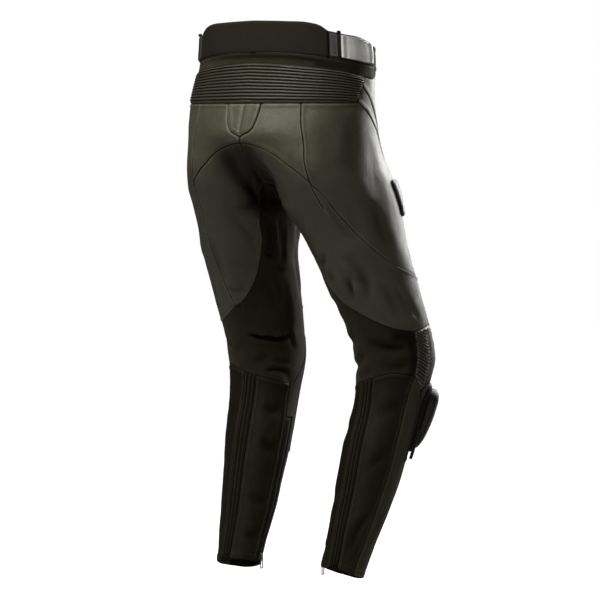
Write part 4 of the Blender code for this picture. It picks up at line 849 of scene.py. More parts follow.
def crease_height(spots, turn, side):
    """Troughs and ridges that the cloth's creases make, metres."""
    total = np.zeros(len(spots))
    for crease_side, line, depth, width in CREASE_LINES:
        reach = 5 * width
        near = ((crease_side == 0) | (side == crease_side))
        near &= (spots > line.min(0) - reach).all(1) & (spots < line.max(0) + reach).all(1)
        if not near.any():
            continue
        off, share = beside(spots[near], line)
        fade = np.clip(4 * share * (1 - share), 0, 1) ** 0.8
        # the banks: one side of a trough is pushed up more than the other
        away = off / width
        trough = np.exp(-away ** 2)
        for rise, at, spread in BANKS:
            trough -= rise * np.exp(-(away - at) ** 2 / spread)
        if crease_side:
            to_middle = (1 - np.abs(turn[near])) * girth_at(spots[near, 1])
            fade = fade * ease(to_middle, 0, MIDDLE_FADE)
        total[near] -= depth * fade * trough
    return total


def painted_shade_of(net, kind):
    """Painted shade for the hollows: 0 on open cloth, towards 1 in folds and between ribs."""
    valley = np.clip(-crease_height(net.spots, net.turn, net.side) / VALLEY_DEPTH, 0, VALLEY_DARKEST)
    for side, places, width, dark in SHADES:
        off = distance(net.spots, flat(line_through(places, CREASE_STEP)))
        shade = dark * hump(off, 0, width) * ((side == 0) | (net.side == side))
        valley = np.maximum(valley, shade)
    if kind.places:
        ribs = kind.height(net.turn, net.drop, bpy.context.scene.trousers_ribs)
        valley = np.maximum(valley, (1 - ribs / ribs.max()) ** kind.narrow)
    return valley


def broad_height(base, spots, turn, side):
    """The form that both faces of the cloth share: creases and an uneven lie."""
    uneven = sum(rise * wander(base, size, seed) for rise, size, seed in UNEVEN)
    return uneven + bpy.context.scene.trousers_cloth.crease * crease_height(spots, turn, side)


def fine_height(name, base, spots, turn, near):
    """The form of the outer face alone: turned edges, laps, puckers and ribs."""
    scene = bpy.context.scene
    ribs = PIECES[name][2].height(turn, spots[:, 1], scene.trousers_ribs)
    pucker = PUCKER * wander(base, PUCKER_SIZE, 3) * np.exp(-near / PUCKER_REACH)
    height = pucker + ribs * ease(near, 0.0004, 0.0040)
    height -= scene.trousers_cloth.seam_roll * np.clip(1 - near / ROLL_REACH, 0, 1) ** 1.6
    for table, width in ((LAPS, LAP_WIDTH), (HEMS, HEM_WIDTH)):
        for seam in table.get(name, "").split():
            close = distance(spots, flat(LINES[seam]))
            height += LAP_RISE * (ease(close, 0.0003, 0.0018)
                                  - ease(close, width - 0.0008, width + 0.0012))
    return height


def near_seam(name, spots, side):
    """Distance to the nearest seam, and a little more where a seam is pressed flat."""
    near = np.full(len(spots), np.inf)
    for seam in seams_of(name):
        weak = FADED_SEAM * ease(spots[:, 1], *FADED_BELOW) * (seam == "back_thigh") * (side < 0)
        near = np.minimum(near, distance(spots, flat(LINES[seam])) + weak)
    return near


def on_cloth(name, places, side, lift):
    """Points that lie on a piece's finished outer face, and their outward directions."""
    turn, drop = places.T
    spots = flat(places)
    base, normal = mirrored(skin(turn, drop), side), mirrored(outward(turn, drop), side)
    height = broad_height(base, spots, turn, np.full(len(turn), side))
    height += fine_height(name, base, spots, turn, near_seam(name, spots, side)) + lift
    return base + normal * height[:, None], normal


class Net:
    """Triangles over places of one or both halves, joined where they meet."""

    def __init__(self, parts, wraps=False):
        """Wraps: the cloth goes on round the inner leg, from turn 1 to turn -1."""
        places, faces, sides, start = [], [], [], 0
        for side, points, found in parts:
            faces.append((found[:, ::-1] if side > 0 else found) + start)
            places.append(points)
            sides.append(np.full(len(points), side))
            start += len(points)
        places, faces, side = np.vstack(places), np.vstack(faces), np.concatenate(sides)
        turn, drop = places.T
        across = len(np.unique(side)) > 1
        laid = np.stack([turn + 2 * (wraps & (turn < 0)) - across, drop], -1)
        self.corner_spots = mirrored(flat(laid), side)[faces]
        keys = np.stack([side, np.round(turn * 1e7), np.round(drop * 1e7)], -1).astype(np.int64)
        middle = np.abs(np.abs(turn) - 1) < TINY
        above = middle & (drop < CROTCH - TINY)
        keys[above, 0] = 0
        keys[middle & ~above, 1] = 10 ** 7
        _, first, index = np.unique(keys, axis=0, return_index=True, return_inverse=True)
        faces = index.reshape(-1)[faces]
        used, new = np.unique(faces, return_inverse=True)
        self.faces = new.reshape(-1, 3)
        first = first[used]
        self.turn, self.drop, self.side = turn[first], drop[first], side[first]
        self.base = mirrored(skin(self.turn, self.drop), self.side)
        self.normal = mirrored(outward(self.turn, self.drop), self.side)
        self.spots = flat(places[first])

    def rim(self):
        """The directed edges that only one triangle has."""
        edges = np.vstack([self.faces[:, [0, 1]], self.faces[:, [1, 2]], self.faces[:, [2, 0]]])
        code = edges[:, 0] * len(self.base) + edges[:, 1]
        back = edges[:, 1] * len(self.base) + edges[:, 0]
        return edges[~np.isin(code, back)]

    def inset(self, rim):
        """Moves the rim in by half a gap, square to the seam."""
        total = np.zeros_like(self.base)
        along = self.base[rim[:, 1]] - self.base[rim[:, 0]]
        for end in (0, 1):
            way = np.cross(self.normal[rim[:, end]], along)
            way /= np.linalg.norm(way, axis=1)[:, None] + 1e-12
            np.add.at(total, rim[:, end], way)
        size = np.maximum((total ** 2).sum(1), 0.8)
        return total * (2 / size)[:, None] * SHOWN_GAP / 2


def new_object(name, data):
    made = bpy.data.objects.new(name, data)
    bpy.context.scene.collection.objects.link(made)
    return made


def shell(name, net, high, low, near, valley, finish):
    """A closed mesh between two heights over a net, with its UV map, seam distance and the painted shade
    of its valleys.
    """
    rim = net.rim()
    push = net.inset(rim)
    count = len(net.base)
    top, under = (net.base + net.normal * height[:, None] + push for height in (high, low))
    a, b = rim.T
    walls = np.vstack([np.stack([b, a, count + a], -1), np.stack([b, count + a, count + b], -1)])
    faces = np.vstack([net.faces, net.faces[:, ::-1] + count, walls])
    mesh = bpy.data.meshes.new(name)
    mesh.from_pydata(np.vstack([top, under]).tolist(), [], faces.tolist())
    wall_spots = np.tile(mirrored(net.spots, net.side), (2, 1))[walls]
    corners = np.vstack([net.corner_spots, net.corner_spots[:, ::-1], wall_spots])
    layer = mesh.uv_layers.new(name="cloth")
    layer.data.foreach_set("uv", (corners.reshape(-1, 2) * (1, -1)).ravel())
    for label, values in (("seam", near), ("valley", valley)):
        layer = mesh.attributes.new(label, "FLOAT", "POINT")
        layer.data.foreach_set("value", np.concatenate([values, values]).astype(np.float32))
    mesh.shade_smooth()
    mesh.set_sharp_from_angle(angle=CLOTH_SHARP)
    mesh.materials.append(finish_of(finish))
    return new_object(name, mesh)


def doubled_area(edge, other):
    """Twice the area of flat triangles, from two of their edges."""
    return edge[:, 0] * other[:, 1] - edge[:, 1] * other[:, 0]


CLOTH_SHARP = math.radians(50)       # edges of cloth pieces sharper than this stay sharp


def node_of(name, side):
    """The name of the piece's solid: its own, or with its side added."""
    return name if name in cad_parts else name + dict(SIDES)[side]


def make_cloth(name, sides, filled=None):
    """One cut piece of cloth, in place of its solid."""
    cloth = bpy.context.scene.trousers_cloth
    rings, finish, kind = PIECES[name]
    filled = filled or [filled_ring(ring, cloth.grid_step, kind) for ring in rings]
    net = Net([(side, *part) for side in sides for part in filled], len(rings) == 2)
    node = node_of(name, sides[0])
    near = near_seam(name, net.spots, net.side)
    low = broad_height(net.base, net.spots, net.turn, net.side)
    high = low + fine_height(name, net.base, net.spots, net.turn, near)
    piece = shell(node + "_cloth", net, high, low - cloth.wall, near, painted_shade_of(net, kind), finish)
    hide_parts(node)
    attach(piece, BODY)
    return filled


def make_pair(name):
    filled = make_cloth(name, (1,))
    make_cloth(name, (-1,), filled)


# ---------------------------------------------------------------- what lies on the cloth
STRAP_THICK = 0.0034
STRAP_FROM, STRAP_TO = 0.321, -0.070     # turns of the strap's ends
# the strap's folds: height, distance from the bar, width
STRAP_FOLDS = ((0.0011, 0.0050, 0.0030), (-0.0012, 0.0135, 0.0026), (0.0007, 0.034, 0.010))
STRAP_TAB_THICK = 0.0024
STRAP_RING_THICK = 0.0046
SLIDER_BASE_THICK = 0.0080
SLIDER_THICK = 0.0190
SLIDER_EDGE = 0.0085
SLIDER_ROUND = 0.026
SLIDER_TAPER = 0.60
SLIDER_TAPER_FROM = 0.35
SLIDER_MIDDLE = (-0.300, 0.658)
SLIDER_LEAN = 0.25
SLIDER_HALF_WIDTH, SLIDER_HALF_HEIGHT, SLIDER_CORNER = 0.030, 0.054, 0.024
BASE_HALF_WIDTH, BASE_HALF_HEIGHT, BASE_CORNER = 0.038, 0.062, 0.022
BASE_SLOPE = 0.008
TAG_LOW = 0.0050         # the tabs hang clear of the shin
THIGH_PATCH_THICK = 0.0055
THIGH_PATCH_SLOPE = 0.006
THIGH_PATCH_MIDDLE = (-0.190, 0.254)
THIGH_PATCH_HALF_WIDTH, THIGH_PATCH_HALF_HEIGHT, THIGH_PATCH_CORNER = 0.022, 0.033, 0.012
LAID_ROWS = (0.0005, 0.0011, 0.0020, 0.0032, 0.0048)
LAID_STEP = 0.0028
LAID_CELL = 0.0003       # squares that hold one point each on a laid piece
LAID_TO_RIM = 0.9        # share of its own distance that a row keeps from the edge
LOOP_STEP = 0.004        # spacing of a round outline's points
CUT_STEP = 0.002         # the same of a straight one
CORNER_POINTS = 9


def rounded_loop(middle, half_width, half_height, corner, lean=0.0):
    """Places round an upright box with round corners; lean turns it forward as it drops."""
    spots = []
    for quarter, (sign_x, sign_y) in enumerate(((1, 1), (-1, 1), (-1, -1), (1, -1))):
        for k in range(CORNER_POINTS + 1):
            angle = math.pi / 2 * (quarter + k / CORNER_POINTS)
            spots.append((sign_x * (half_width - corner) + corner * math.cos(angle),
                          sign_y * (half_height - corner) + corner * math.sin(angle)))
    places = []
    for (x0, y0), (x1, y1) in zip(spots, spots[1:] + spots[:1]):
        pieces = max(1, math.ceil(math.hypot(x1 - x0, y1 - y0) / LOOP_STEP))
        for k in range(pieces):
            x, y = x0 + (x1 - x0) * k / pieces, y0 + (y1 - y0) * k / pieces
            drop = middle[1] + y
            places.append((middle[0] - lean * y + x / girth_at(drop), drop))
    return np.round(places, 9)


def cut_loop(*corners):
    """Places round a piece cut straight between its corners."""
    ends = corners[1:] + corners[:1]
    sides = [line_through([a, b], CUT_STEP)[:-1] for a, b in zip(corners, ends)]
    return np.round(np.vstack(sides), 9)


LOOPS = {
    "slider_base": rounded_loop(SLIDER_MIDDLE, BASE_HALF_WIDTH, BASE_HALF_HEIGHT, BASE_CORNER,
                                SLIDER_LEAN),
    "knee_slider": rounded_loop(SLIDER_MIDDLE, SLIDER_HALF_WIDTH, SLIDER_HALF_HEIGHT,
                                SLIDER_CORNER, SLIDER_LEAN),
    "strap_tab": cut_loop((0.422, -0.0405), (0.345, -0.0380), (0.345, 0.0035), (0.422, 0.0015)),
    "strap_ring": cut_loop((0.345, -0.0380), (STRAP_FROM, -0.0370), (STRAP_FROM, 0.0045),
                           (0.345, 0.0035)),
    "waist_strap": cut_loop((STRAP_FROM, -0.0370), (0.090, -0.0305), (STRAP_TO, -0.0210),
                            (STRAP_TO, 0.0150), (0.050, 0.0125), (STRAP_FROM, 0.0045)),
    "slider_tab_a": cut_loop((-0.140, 0.676), (-0.112, 0.676), (-0.120, 0.727), (-0.128, 0.727)),
    "slider_tab_b": cut_loop((-0.225, 0.688), (-0.197, 0.688), (-0.205, 0.731), (-0.213, 0.731)),
    "strap_knob": rounded_loop((0.333, -0.0405), 0.0040, 0.0032, 0.0026),
    "thigh_patch": rounded_loop(THIGH_PATCH_MIDDLE, THIGH_PATCH_HALF_WIDTH,
                                THIGH_PATCH_HALF_HEIGHT, THIGH_PATCH_CORNER),
}


def round_edge(near, radius):
    """0 at an edge, 1 from the radius inwards, as a quarter circle."""
    part = np.clip(near / radius, 0, 1)
    return np.sqrt(1 - (1 - part) ** 2)


def base_high(near, turn, drop):
    """A rim, a slope up from it, and a groove round the flat top."""
    slope = np.clip(near / BASE_SLOPE, 0, 1)
    groove = 0.0006 * hump(near - BASE_SLOPE, 0.0012, 0.0008)
    return SLIDER_BASE_THICK * (0.30 + 0.15 * round_edge(near, 0.0012) + 0.55 * slope) - groove


def slider_high(near, turn, drop):
    """A dome that is highest near the knee and falls away towards the shin."""
    dome = round_edge(near, SLIDER_ROUND)
    down = (drop - SLIDER_MIDDLE[1]) / (2 * SLIDER_HALF_HEIGHT) + 0.5
    past = np.clip((down - SLIDER_TAPER_FROM) / (1 - SLIDER_TAPER_FROM), 0, 1)
    edge = 0.0022 * (1 - round_edge(near, 0.0026))
    parting = 0.0007 * hump(near, 0.0056, 0.0007)
    height = (SLIDER_EDGE + (SLIDER_THICK - SLIDER_EDGE) * dome) * (1 - SLIDER_TAPER * past * past)
    return SLIDER_BASE_THICK + SEAM_GAP + height - edge - parting


def patch_high(near, turn, drop):
    share = np.clip(near / THIGH_PATCH_SLOPE, 0, 1)
    groove = 0.0007 * hump(near, 0.0078, 0.0007)
    return THIGH_PATCH_THICK * (0.38 + 0.12 * round_edge(near, 0.001) + 0.5 * share) - groove


def round_edged(thick, share, radius):
    """The high face of a plain flat piece whose walls go straight up to a share of its height."""
    return lambda near, turn, drop: thick * (share + (1 - share) * round_edge(near, radius))


def strap_high(near, turn, drop):
    """The strap, folded over behind its bar and double at its stitched end."""
    behind = (STRAP_FROM - turn) * girth_at(drop)
    ahead = (turn - STRAP_TO) * girth_at(drop)
    fold = sum(rise * hump(behind, at, width) for rise, at, width in STRAP_FOLDS)
    double = 0.0010 * (1 - ease(ahead, 0.0100, 0.0118))
    sag = 0.0004 * np.cos(drop * 150)
    return STRAP_THICK * (0.40 + 0.60 * round_edge(near, 0.0016)) + fold + double + sag


def tag_high(near, turn, drop):
    return 0.0080 + 0.0010 * round_edge(near, 0.0012) + 0.0015 * ease(drop, 0.680, 0.722)


# piece: (height of its low face, its high face, finish, sides)
LAID_ON = {
    "slider_base": (0.0, base_high, "hard_black", BOTH),
    "knee_slider": (SLIDER_BASE_THICK + SEAM_GAP, slider_high, "slider", BOTH),
    # the tab is the strap's leather with painted shade
    "strap_tab": (0.0, round_edged(STRAP_TAB_THICK, 0.45, 0.0014), "leather_tab", BOTH),
    "strap_ring": (0.0, round_edged(STRAP_RING_THICK, 0.25, 0.0030), "hard_black", BOTH),
    "waist_strap": (0.0, strap_high, "leather_strap", BOTH),
    "thigh_patch": (0.0, patch_high, "hard_black", (-1,)),
    "slider_tab_a": (TAG_LOW, tag_high, "hard_black", BOTH),
    "slider_tab_b": (TAG_LOW, tag_high, "hard_black", BOTH),
    "strap_knob": (0.0, round_edged(0.0062, 0.3, 0.0030), "hard_black", BOTH),
}


def on_form(name, places, side, lift):
    """Points on the top of a laid piece, and their outward directions."""
    turn, drop = places.T
    normal = mirrored(outward(turn, drop), side)
    near = distance(flat(places), flat(LOOPS[name]), True)
    high = SEAM_GAP + LAID_ON[name][1](near, turn, drop) + lift
    return mirrored(skin(turn, drop), side) + normal * high[:, None], normal


def make_laid_on(name):
    """A piece on the cloth, in place of its solid, with round edges."""
    low, high, finish, sides = LAID_ON[name]
    ring = flat(LOOPS[name])
    along = np.roll(ring, -1, axis=0) - np.roll(ring, 1, axis=0)
    across = np.stack([-along[:, 1], along[:, 0]], -1) / np.linalg.norm(along, axis=1)[:, None]
    if not inside(ring[:1] + across[:1] * 0.0006 + 1e-7, ring)[0]:
        across = -across
    rows = []
    for row in LAID_ROWS:
        spots = ring + across * row
        keep = inside(spots, ring) & (distance(spots, ring, True) > LAID_TO_RIM * row)
        rows.append(spots[keep])
    grid = even_grid(ring, LAID_STEP)
    room = LAID_ROWS[-1] + LAID_STEP * 0.4
    grid = grid[inside(grid, ring) & (distance(grid, ring, True) > room)]
    filled = triangles(LOOPS[name], unflat(sparse(np.vstack(rows + [grid]), LAID_CELL)))
    for side in sides:
        net = Net([(side, *filled)])
        near = distance(net.spots, ring, True)
        node = node_of(name, side)
        top = SEAM_GAP + high(near, net.turn, net.drop)
        under = np.full(len(near), SEAM_GAP + low)
        piece = shell(node + "_form", net, top, under, near, 0 * near, finish)
        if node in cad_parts:
            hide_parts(node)
        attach(piece, BODY)


# ---------------------------------------------------------------- shader groups
def fill(tree, node, inputs):
    """Links a node's sockets to others or sets them, and returns the node."""
    for key, value in dict(inputs).items():
        if isinstance(value, bpy.types.NodeSocket):
            tree.links.new(value, node.inputs[key])
        else:
            node.inputs[key].default_value = value
    return node


def add(tree, kind, inputs=(), **settings):
    """A node with its settings, and its sockets linked or set."""
    node = tree.nodes.new(kind)
    for key, value in settings.items():
        setattr(node, key, value)
    return fill(tree, node, inputs)


def output(tree, kind, inputs=(), **settings):
    """The first output of such a node."""
    return add(tree, kind, inputs, **settings).outputs[0]


def math_node(tree, operation, a, b=0.0, clamp=False):
    return output(tree, "ShaderNodeMath", {0: a, 1: b}, operation=operation, use_clamp=clamp)


def times(tree, a, b, clamp=False):
    return math_node(tree, "MULTIPLY", a, b, clamp)


def plus(tree, a, b, clamp=False):
    return math_node(tree, "ADD", a, b, clamp)


def minus(tree, a, b, clamp=False):
    return math_node(tree, "SUBTRACT", a, b, clamp)


def object_place(tree):
    return add(tree, "ShaderNodeTexCoord").outputs["Object"]


def noise(tree, scale, detail, roughness=0.5, place=None):
    """A noise texture's outputs, in the object's own space unless a place is given."""
    place = object_place(tree) if place is None else place
    return add(tree, "ShaderNodeTexNoise", {"Vector": place, "Scale": scale, "Detail": detail,
                                            "Roughness": roughness}).outputs


def smooth_step(tree, value, low, high, at_low=0.0, at_high=1.0):
    inputs = {"Value": value, "From Min": low, "From Max": high, "To Min": at_low, "To Max": at_high}
    return output(tree, "ShaderNodeMapRange", inputs, interpolation_type="SMOOTHSTEP")


def number_input(tree, label, value):
    socket = tree.interface.new_socket(label, in_out="INPUT", socket_type="NodeSocketFloat")
    socket.default_value = value


def shader_group(name, inputs, outputs):
    """An empty shader group with named sockets: its tree, its inputs and its output node."""
    tree = bpy.data.node_groups.new(name, "ShaderNodeTree")
    for label, value in inputs.items():
        number_input(tree, label, value)
    for label in outputs:
        tree.interface.new_socket(label, in_out="OUTPUT", socket_type="NodeSocketFloat")
    return tree, tree.nodes.new("NodeGroupInput").outputs, tree.nodes.new("NodeGroupOutput")


def use_group(tree, name, inputs=()):
    """The outputs of a group's node."""
    return add(tree, "ShaderNodeGroup", inputs, node_tree=bpy.data.node_groups[name]).outputs


def build_grain_group():
    """Leather grain: small cells with soft valleys, and finer pores between them."""
    tree, given, out = shader_group(
        "Leather grain", {"Cells per metre": 620.0, "Stretch": 0.35}, ["Height", "Valleys"])
    place = object_place(tree)
    drift = noise(tree, 90.0, 2.0, place=place)["Color"]
    drift = output(tree, "ShaderNodeVectorMath", {0: drift, 1: (0.012, 0.012, 0.012)},
                   operation="MULTIPLY")
    moved = output(tree, "ShaderNodeVectorMath", {0: place, 1: drift}, operation="ADD")
    cells = add(tree, "ShaderNodeTexVoronoi", {"Vector": moved, "Scale": given["Cells per metre"]},
                feature="DISTANCE_TO_EDGE").outputs["Distance"]
    domes = smooth_step(tree, cells, 0.0, given["Stretch"])
    pores = times(tree, noise(tree, 2400.0, 2.0, place=moved)["Fac"], 0.35)
    fill(tree, out, {"Height": plus(tree, domes, pores), "Valleys": minus(tree, 1.0, domes)})


def build_patchy_group():
    """Broad, uneven patches for colour and gloss."""
    tree, given, out = shader_group(
        "Patchy", {"Patches per metre": 14.0, "Contrast": 0.5}, ["Patches"])
    centred = minus(tree, noise(tree, given["Patches per metre"], 5.0, 0.6)["Fac"], 0.5)
    stretched = times(tree, times(tree, centred, given["Contrast"]), 4.0)
    fill(tree, out, {"Patches": plus(tree, stretched, 0.5, True)})


def build_edge_group():
    """Wear and a painted highlight along seams and hems, and a dark line in each seam, from the piece's
    own distance to its seams; painted shade in hollows, from the valley attribute.
    """
    tree, given, out = shader_group(
        "Seam wear", {"Width": 0.0052, "Breakup": 0.7}, ["Worn", "Dirt", "Valley"])
    seam, valley = (add(tree, "ShaderNodeAttribute", attribute_name=label).outputs["Fac"]
                    for label in ("seam", "valley"))
    uneven = times(tree, noise(tree, 160.0, 3.0)["Fac"], given["Breakup"])
    width = times(tree, given["Width"], plus(tree, uneven, 0.6))
    # lighter near each seam: wear, and a painted highlight of the raised edge
    inner = smooth_step(tree, seam, 0.0018, width, 1.0, 0.0)
    edge = smooth_step(tree, seam, 0.0006, 0.0017)
    fill(tree, out, {"Worn": times(tree, inner, edge), "Dirt": minus(tree, 1.0, edge),
                     "Valley": math_node(tree, "POWER", valley, 1.15)})


def build_knit_group():
    """A fine knit: upright wales crossed by short slanting loops."""
    tree, given, out = shader_group(
        "Knit", {"Wales per metre": 900.0, "Rows per metre": 700.0}, ["Height", "Valleys"])
    uv = output(tree, "ShaderNodeUVMap", uv_map="cloth")
    split = add(tree, "ShaderNodeSeparateXYZ", {0: uv}).outputs
    wale = math_node(tree, "PINGPONG", times(tree, split[0], given["Wales per metre"]), 0.5)
    down = times(tree, split[1], given["Rows per metre"])
    slanting = plus(tree, down, times(tree, wale, 1.3))
    loops = times(tree, math_node(tree, "SINE", times(tree, slanting, 2 * math.pi)), 0.25)
    rounded_wale = math_node(tree, "SQRT", times(tree, wale, 2.0))
    height = times(tree, rounded_wale, plus(tree, loops, 0.75))
    fill(tree, out, {"Height": height, "Valleys": minus(tree, 1.0, height, True)})


def build_scratch_group():
    """Fine scuffs, longer one way than the other."""
    tree, given, out = shader_group("Scuffs", {"Per metre": 300.0, "Threshold": 0.62}, ["Scuffs"])
    turned = output(tree, "ShaderNodeMapping", {"Vector": object_place(tree), "Scale": (1, 0.12, 0.35),
                                                "Rotation": (0.4, 0.2, 0.6)})
    strength = noise(tree, given["Per metre"], 4.0, 0.7, turned)["Fac"]
    over = minus(tree, strength, given["Threshold"])
    fill(tree, out, {"Scuffs": times(tree, over, 9.0, True)})


FINISHED = "_finish"     # ends the names of this script's materials
WARM_GLOSS = (1.0, 0.96, 0.86, 1)
WARMER_GLOSS = (1.0, 0.92, 0.70, 1)
WARM_SHEEN = (1.0, 0.93, 0.66, 1)
WHITE = (1, 1, 1, 1)
FLOOR_GLOW = 0.95        # how white the camera sees the floor
# the hollows' metal, with their black base, paints them as shaded
HOLLOW_METAL = 0.88      # how metallic the darkest hollows are


def blank_material(name, roughness, inputs):
    """A new material's tree and shader, with the inputs that are equal all over it."""
    made = bpy.data.materials.new(name + FINISHED)
    made.use_nodes = True
    inputs = {"Roughness": roughness, "Specular Tint": WARM_GLOSS, "Sheen Tint": WARM_SHEEN, **inputs}
    return made.node_tree, fill(made.node_tree, made.node_tree.nodes["Principled BSDF"], inputs)


def tinted(colour, factor):
    """A colour made darker or lighter, with its alpha."""
    return (*(min(part * factor, 1) for part in colour[:3]), 1)


def mixed(tree, a, b, share):
    """One colour where share is 0 and the other where it is 1."""
    return add(tree, "ShaderNodeMix", {6: a, 7: b, 0: share}, data_type="RGBA").outputs[2]


def layered(tree, colour, base, *layers):
    """A base mixed towards tints of the colour, one for each (tint, share, weight)."""
    for factor, share, weight in layers:
        base = mixed(tree, base, tinted(colour, factor), times(tree, share, weight))
    return base


def weighted(tree, rest, *parts):
    """The sum of the (value, weight) parts and a rest."""
    total = None
    for value, weight in parts:
        part = times(tree, value, weight)
        total = part if total is None else plus(tree, total, part)
    return plus(tree, total, rest)


def patches_of(tree, scale, contrast=0.5):
    return use_group(tree, "Patchy", {"Patches per metre": scale, "Contrast": contrast})["Patches"]


def scuffs_of(tree, scale, threshold=0.62):
    return use_group(tree, "Scuffs", {"Per metre": scale, "Threshold": threshold})["Scuffs"]


def shade_hollows(tree, valley):
    """Paints shade into hollows by stopping their gloss: a black base that is mostly metallic sends no
    light back.
    """
    return times(tree, valley, HOLLOW_METAL)


def bumped(tree, *layers):
    """The normal after bump nodes in a row, one for each (height, distance, strength)."""
    inputs = {}
    for height, far, strength in layers:
        inputs.update({"Height": height, "Distance": far, "Strength": strength})
        inputs["Normal"] = output(tree, "ShaderNodeBump", inputs)
    return inputs["Normal"]


# wear: how much lighter the scuffs and seam edges are; at the seams this is wear and a painted highlight
def leather_material(name, colour, roughness, coat=0.0, wear=2.3, cells=620.0, gloss=0.32,
                     tint=WARM_GLOSS):
    tree, shader = blank_material(name, roughness, {
        "Coat Weight": coat, "Coat Roughness": 0.35, "Specular IOR Level": gloss,
        "Specular Tint": tint})
    grain = use_group(tree, "Leather grain", {"Cells per metre": cells})
    seam = use_group(tree, "Seam wear")
    patches, small = patches_of(tree, 13.0, 0.55), patches_of(tree, 70.0, 0.4)
    # lighter scuffs and seam wear, and a painted highlight along the seams' raised edges
    worn_and_highlit = plus(tree, times(tree, seam["Worn"], 0.45), times(tree, scuffs_of(tree, 240.0), 0.18), True)
    # dark seam lines, and painted shade in folds, hollows and between ribs
    dirt_and_shade = math_node(tree, "MAXIMUM", seam["Dirt"], seam["Valley"])
    base = mixed(tree, tinted(colour, 0.80), tinted(colour, 1.18), patches)
    fill(tree, shader, {
        "Base Color": layered(tree, colour, base, (0.45, grain["Valleys"], 0.5), (wear, worn_and_highlit, 1.0),
                              (0.06, dirt_and_shade, 0.96)),
        "Metallic": shade_hollows(tree, seam["Valley"]),
        "Roughness": weighted(tree, roughness - 0.10, (patches, 0.10), (small, 0.06),
                              (grain["Valleys"], 0.12)),
        "Normal": bumped(tree, (small, 0.0012, 0.35), (grain["Height"], 0.00022, 0.55))})


def knit_material(name, colour):
    tree, shader = blank_material(name, 0.9, {"Sheen Weight": 0.05, "Sheen Roughness": 0.5,
                                              "Specular IOR Level": 0.12})
    knit = use_group(tree, "Knit")
    seam = use_group(tree, "Seam wear", {"Width": 0.004})
    base = mixed(tree, tinted(colour, 0.75), tinted(colour, 1.3), patches_of(tree, 20.0))
    # lighter at the seams for wear and a painted highlight, and painted shade in hollows and between ribs
    fill(tree, shader, {
        "Base Color": layered(tree, colour, base, (0.25, knit["Valleys"], 0.8),
                              (1.6, seam["Worn"], 0.3), (0.15, seam["Valley"], 0.9)),
        "Metallic": shade_hollows(tree, seam["Valley"]),
        "Roughness": weighted(tree, 0.80, (knit["Valleys"], 0.1)),
        "Normal": bumped(tree, (knit["Height"], 0.00045, 0.8))})


def plastic_material(name, colour, roughness, scuffed=0.35, gloss=0.5):
    tree, shader = blank_material(name, roughness, {"Specular IOR Level": gloss})
    scuffs, patches = scuffs_of(tree, 150.0, 0.58), patches_of(tree, 45.0)
    base = mixed(tree, tinted(colour, 0.85), tinted(colour, 1.2), patches)
    fill(tree, shader, {
        "Base Color": layered(tree, colour, base, (2.2, scuffs, scuffed)),
        "Roughness": weighted(tree, roughness - 0.04, (scuffs, 0.2), (patches, 0.08)),
        "Normal": bumped(tree, (noise(tree, 1500.0, 2.0)["Fac"], 0.00012, 0.5))})


def metal_material(name, colour):
    tree, shader = blank_material(name, 0.3, {"Metallic": 1.0})
    scuffs = scuffs_of(tree, 900.0, 0.5)
    fill(tree, shader, {
        "Base Color": mixed(tree, tinted(colour, 0.7), tinted(colour, 1.15), patches_of(tree, 260.0)),
        "Roughness": weighted(tree, 0.24, (scuffs, 0.18)),
        "Normal": bumped(tree, (scuffs, 0.00005, 0.5))})


def thread_material(name, colour):
    tree, shader = blank_material(name, 0.6, {"Specular IOR Level": 0.4})
    strands = noise(tree, 3000.0, 1.0)["Fac"]
    fill(tree, shader, {
        "Base Color": mixed(tree, tinted(colour, 0.6), tinted(colour, 1.4), strands),
        "Normal": bumped(tree, (strands, 0.0001, 0.6))})


def floor_material(name, colour):
    """A floor that shows almost white to the camera and lights the trousers softly."""
    tree, shader = blank_material(name, 0.8, {"Specular IOR Level": 0.1})
    seen = add(tree, "ShaderNodeLightPath").outputs["Is Camera Ray"]
    patches = patches_of(tree, 1.2, 0.3)
    fill(tree, shader, {
        "Base Color": mixed(tree, tinted(colour, 0.99), tinted(colour, 1.01), patches),
        "Emission Color": WHITE, "Emission Strength": times(tree, seen, FLOOR_GLOW)})


def build_materials():
    """One finish for each material of the trousers, by name, and the floor's."""
    for build in (build_grain_group, build_patchy_group, build_edge_group, build_knit_group,
                  build_scratch_group):
        build()
    tone = bpy.context.scene.trousers_finish
    leather_material("leather", tone.leather, 0.46, coat=0.04)
    # piping: a lighter leather, partly its own tone and partly a painted highlight along the piped ridges
    leather_material("piping", tone.piping, 0.45, coat=0.1, wear=1.2)
    leather_material("leather_dark", tone.leather_dark, 0.60, wear=2.4, gloss=0.14, tint=WARMER_GLOSS)
    leather_material("leather_rib", tone.leather_rib, 0.45, gloss=0.4)
    leather_material("leather_strip", tone.leather_strip, 0.66, gloss=0.10)
    leather_material("leather_strap", tone.leather_strap, 0.34, coat=0.5, wear=1.3)
    # the strap's leather, darkened to paint the tab's shade
    leather_material("leather_tab", tinted(tone.leather_strap, 0.08), 0.50)
    leather_material("waistband", tone.waistband, 0.80, wear=1.5, cells=1400.0, gloss=0.1)
    knit_material("knit", tone.knit)
    knit_material("knit_rib", tinted(tone.knit, 0.6))
    knit_material("zip_tape", tinted(tone.knit, 0.4))
    plastic_material("slider", tone.slider, 0.50, gloss=0.3)
    plastic_material("hard_black", tone.hard_black, 0.46, 0.2, gloss=0.15)
    metal_material("metal", tone.metal)
    thread_material("thread", tone.thread)
    floor_material("floor", tone.floor)


def finish_of(name):
    if name + FINISHED not in bpy.data.materials:
        raise RuntimeError(f"there is no finish named {name}")
    return bpy.data.materials[name + FINISHED]


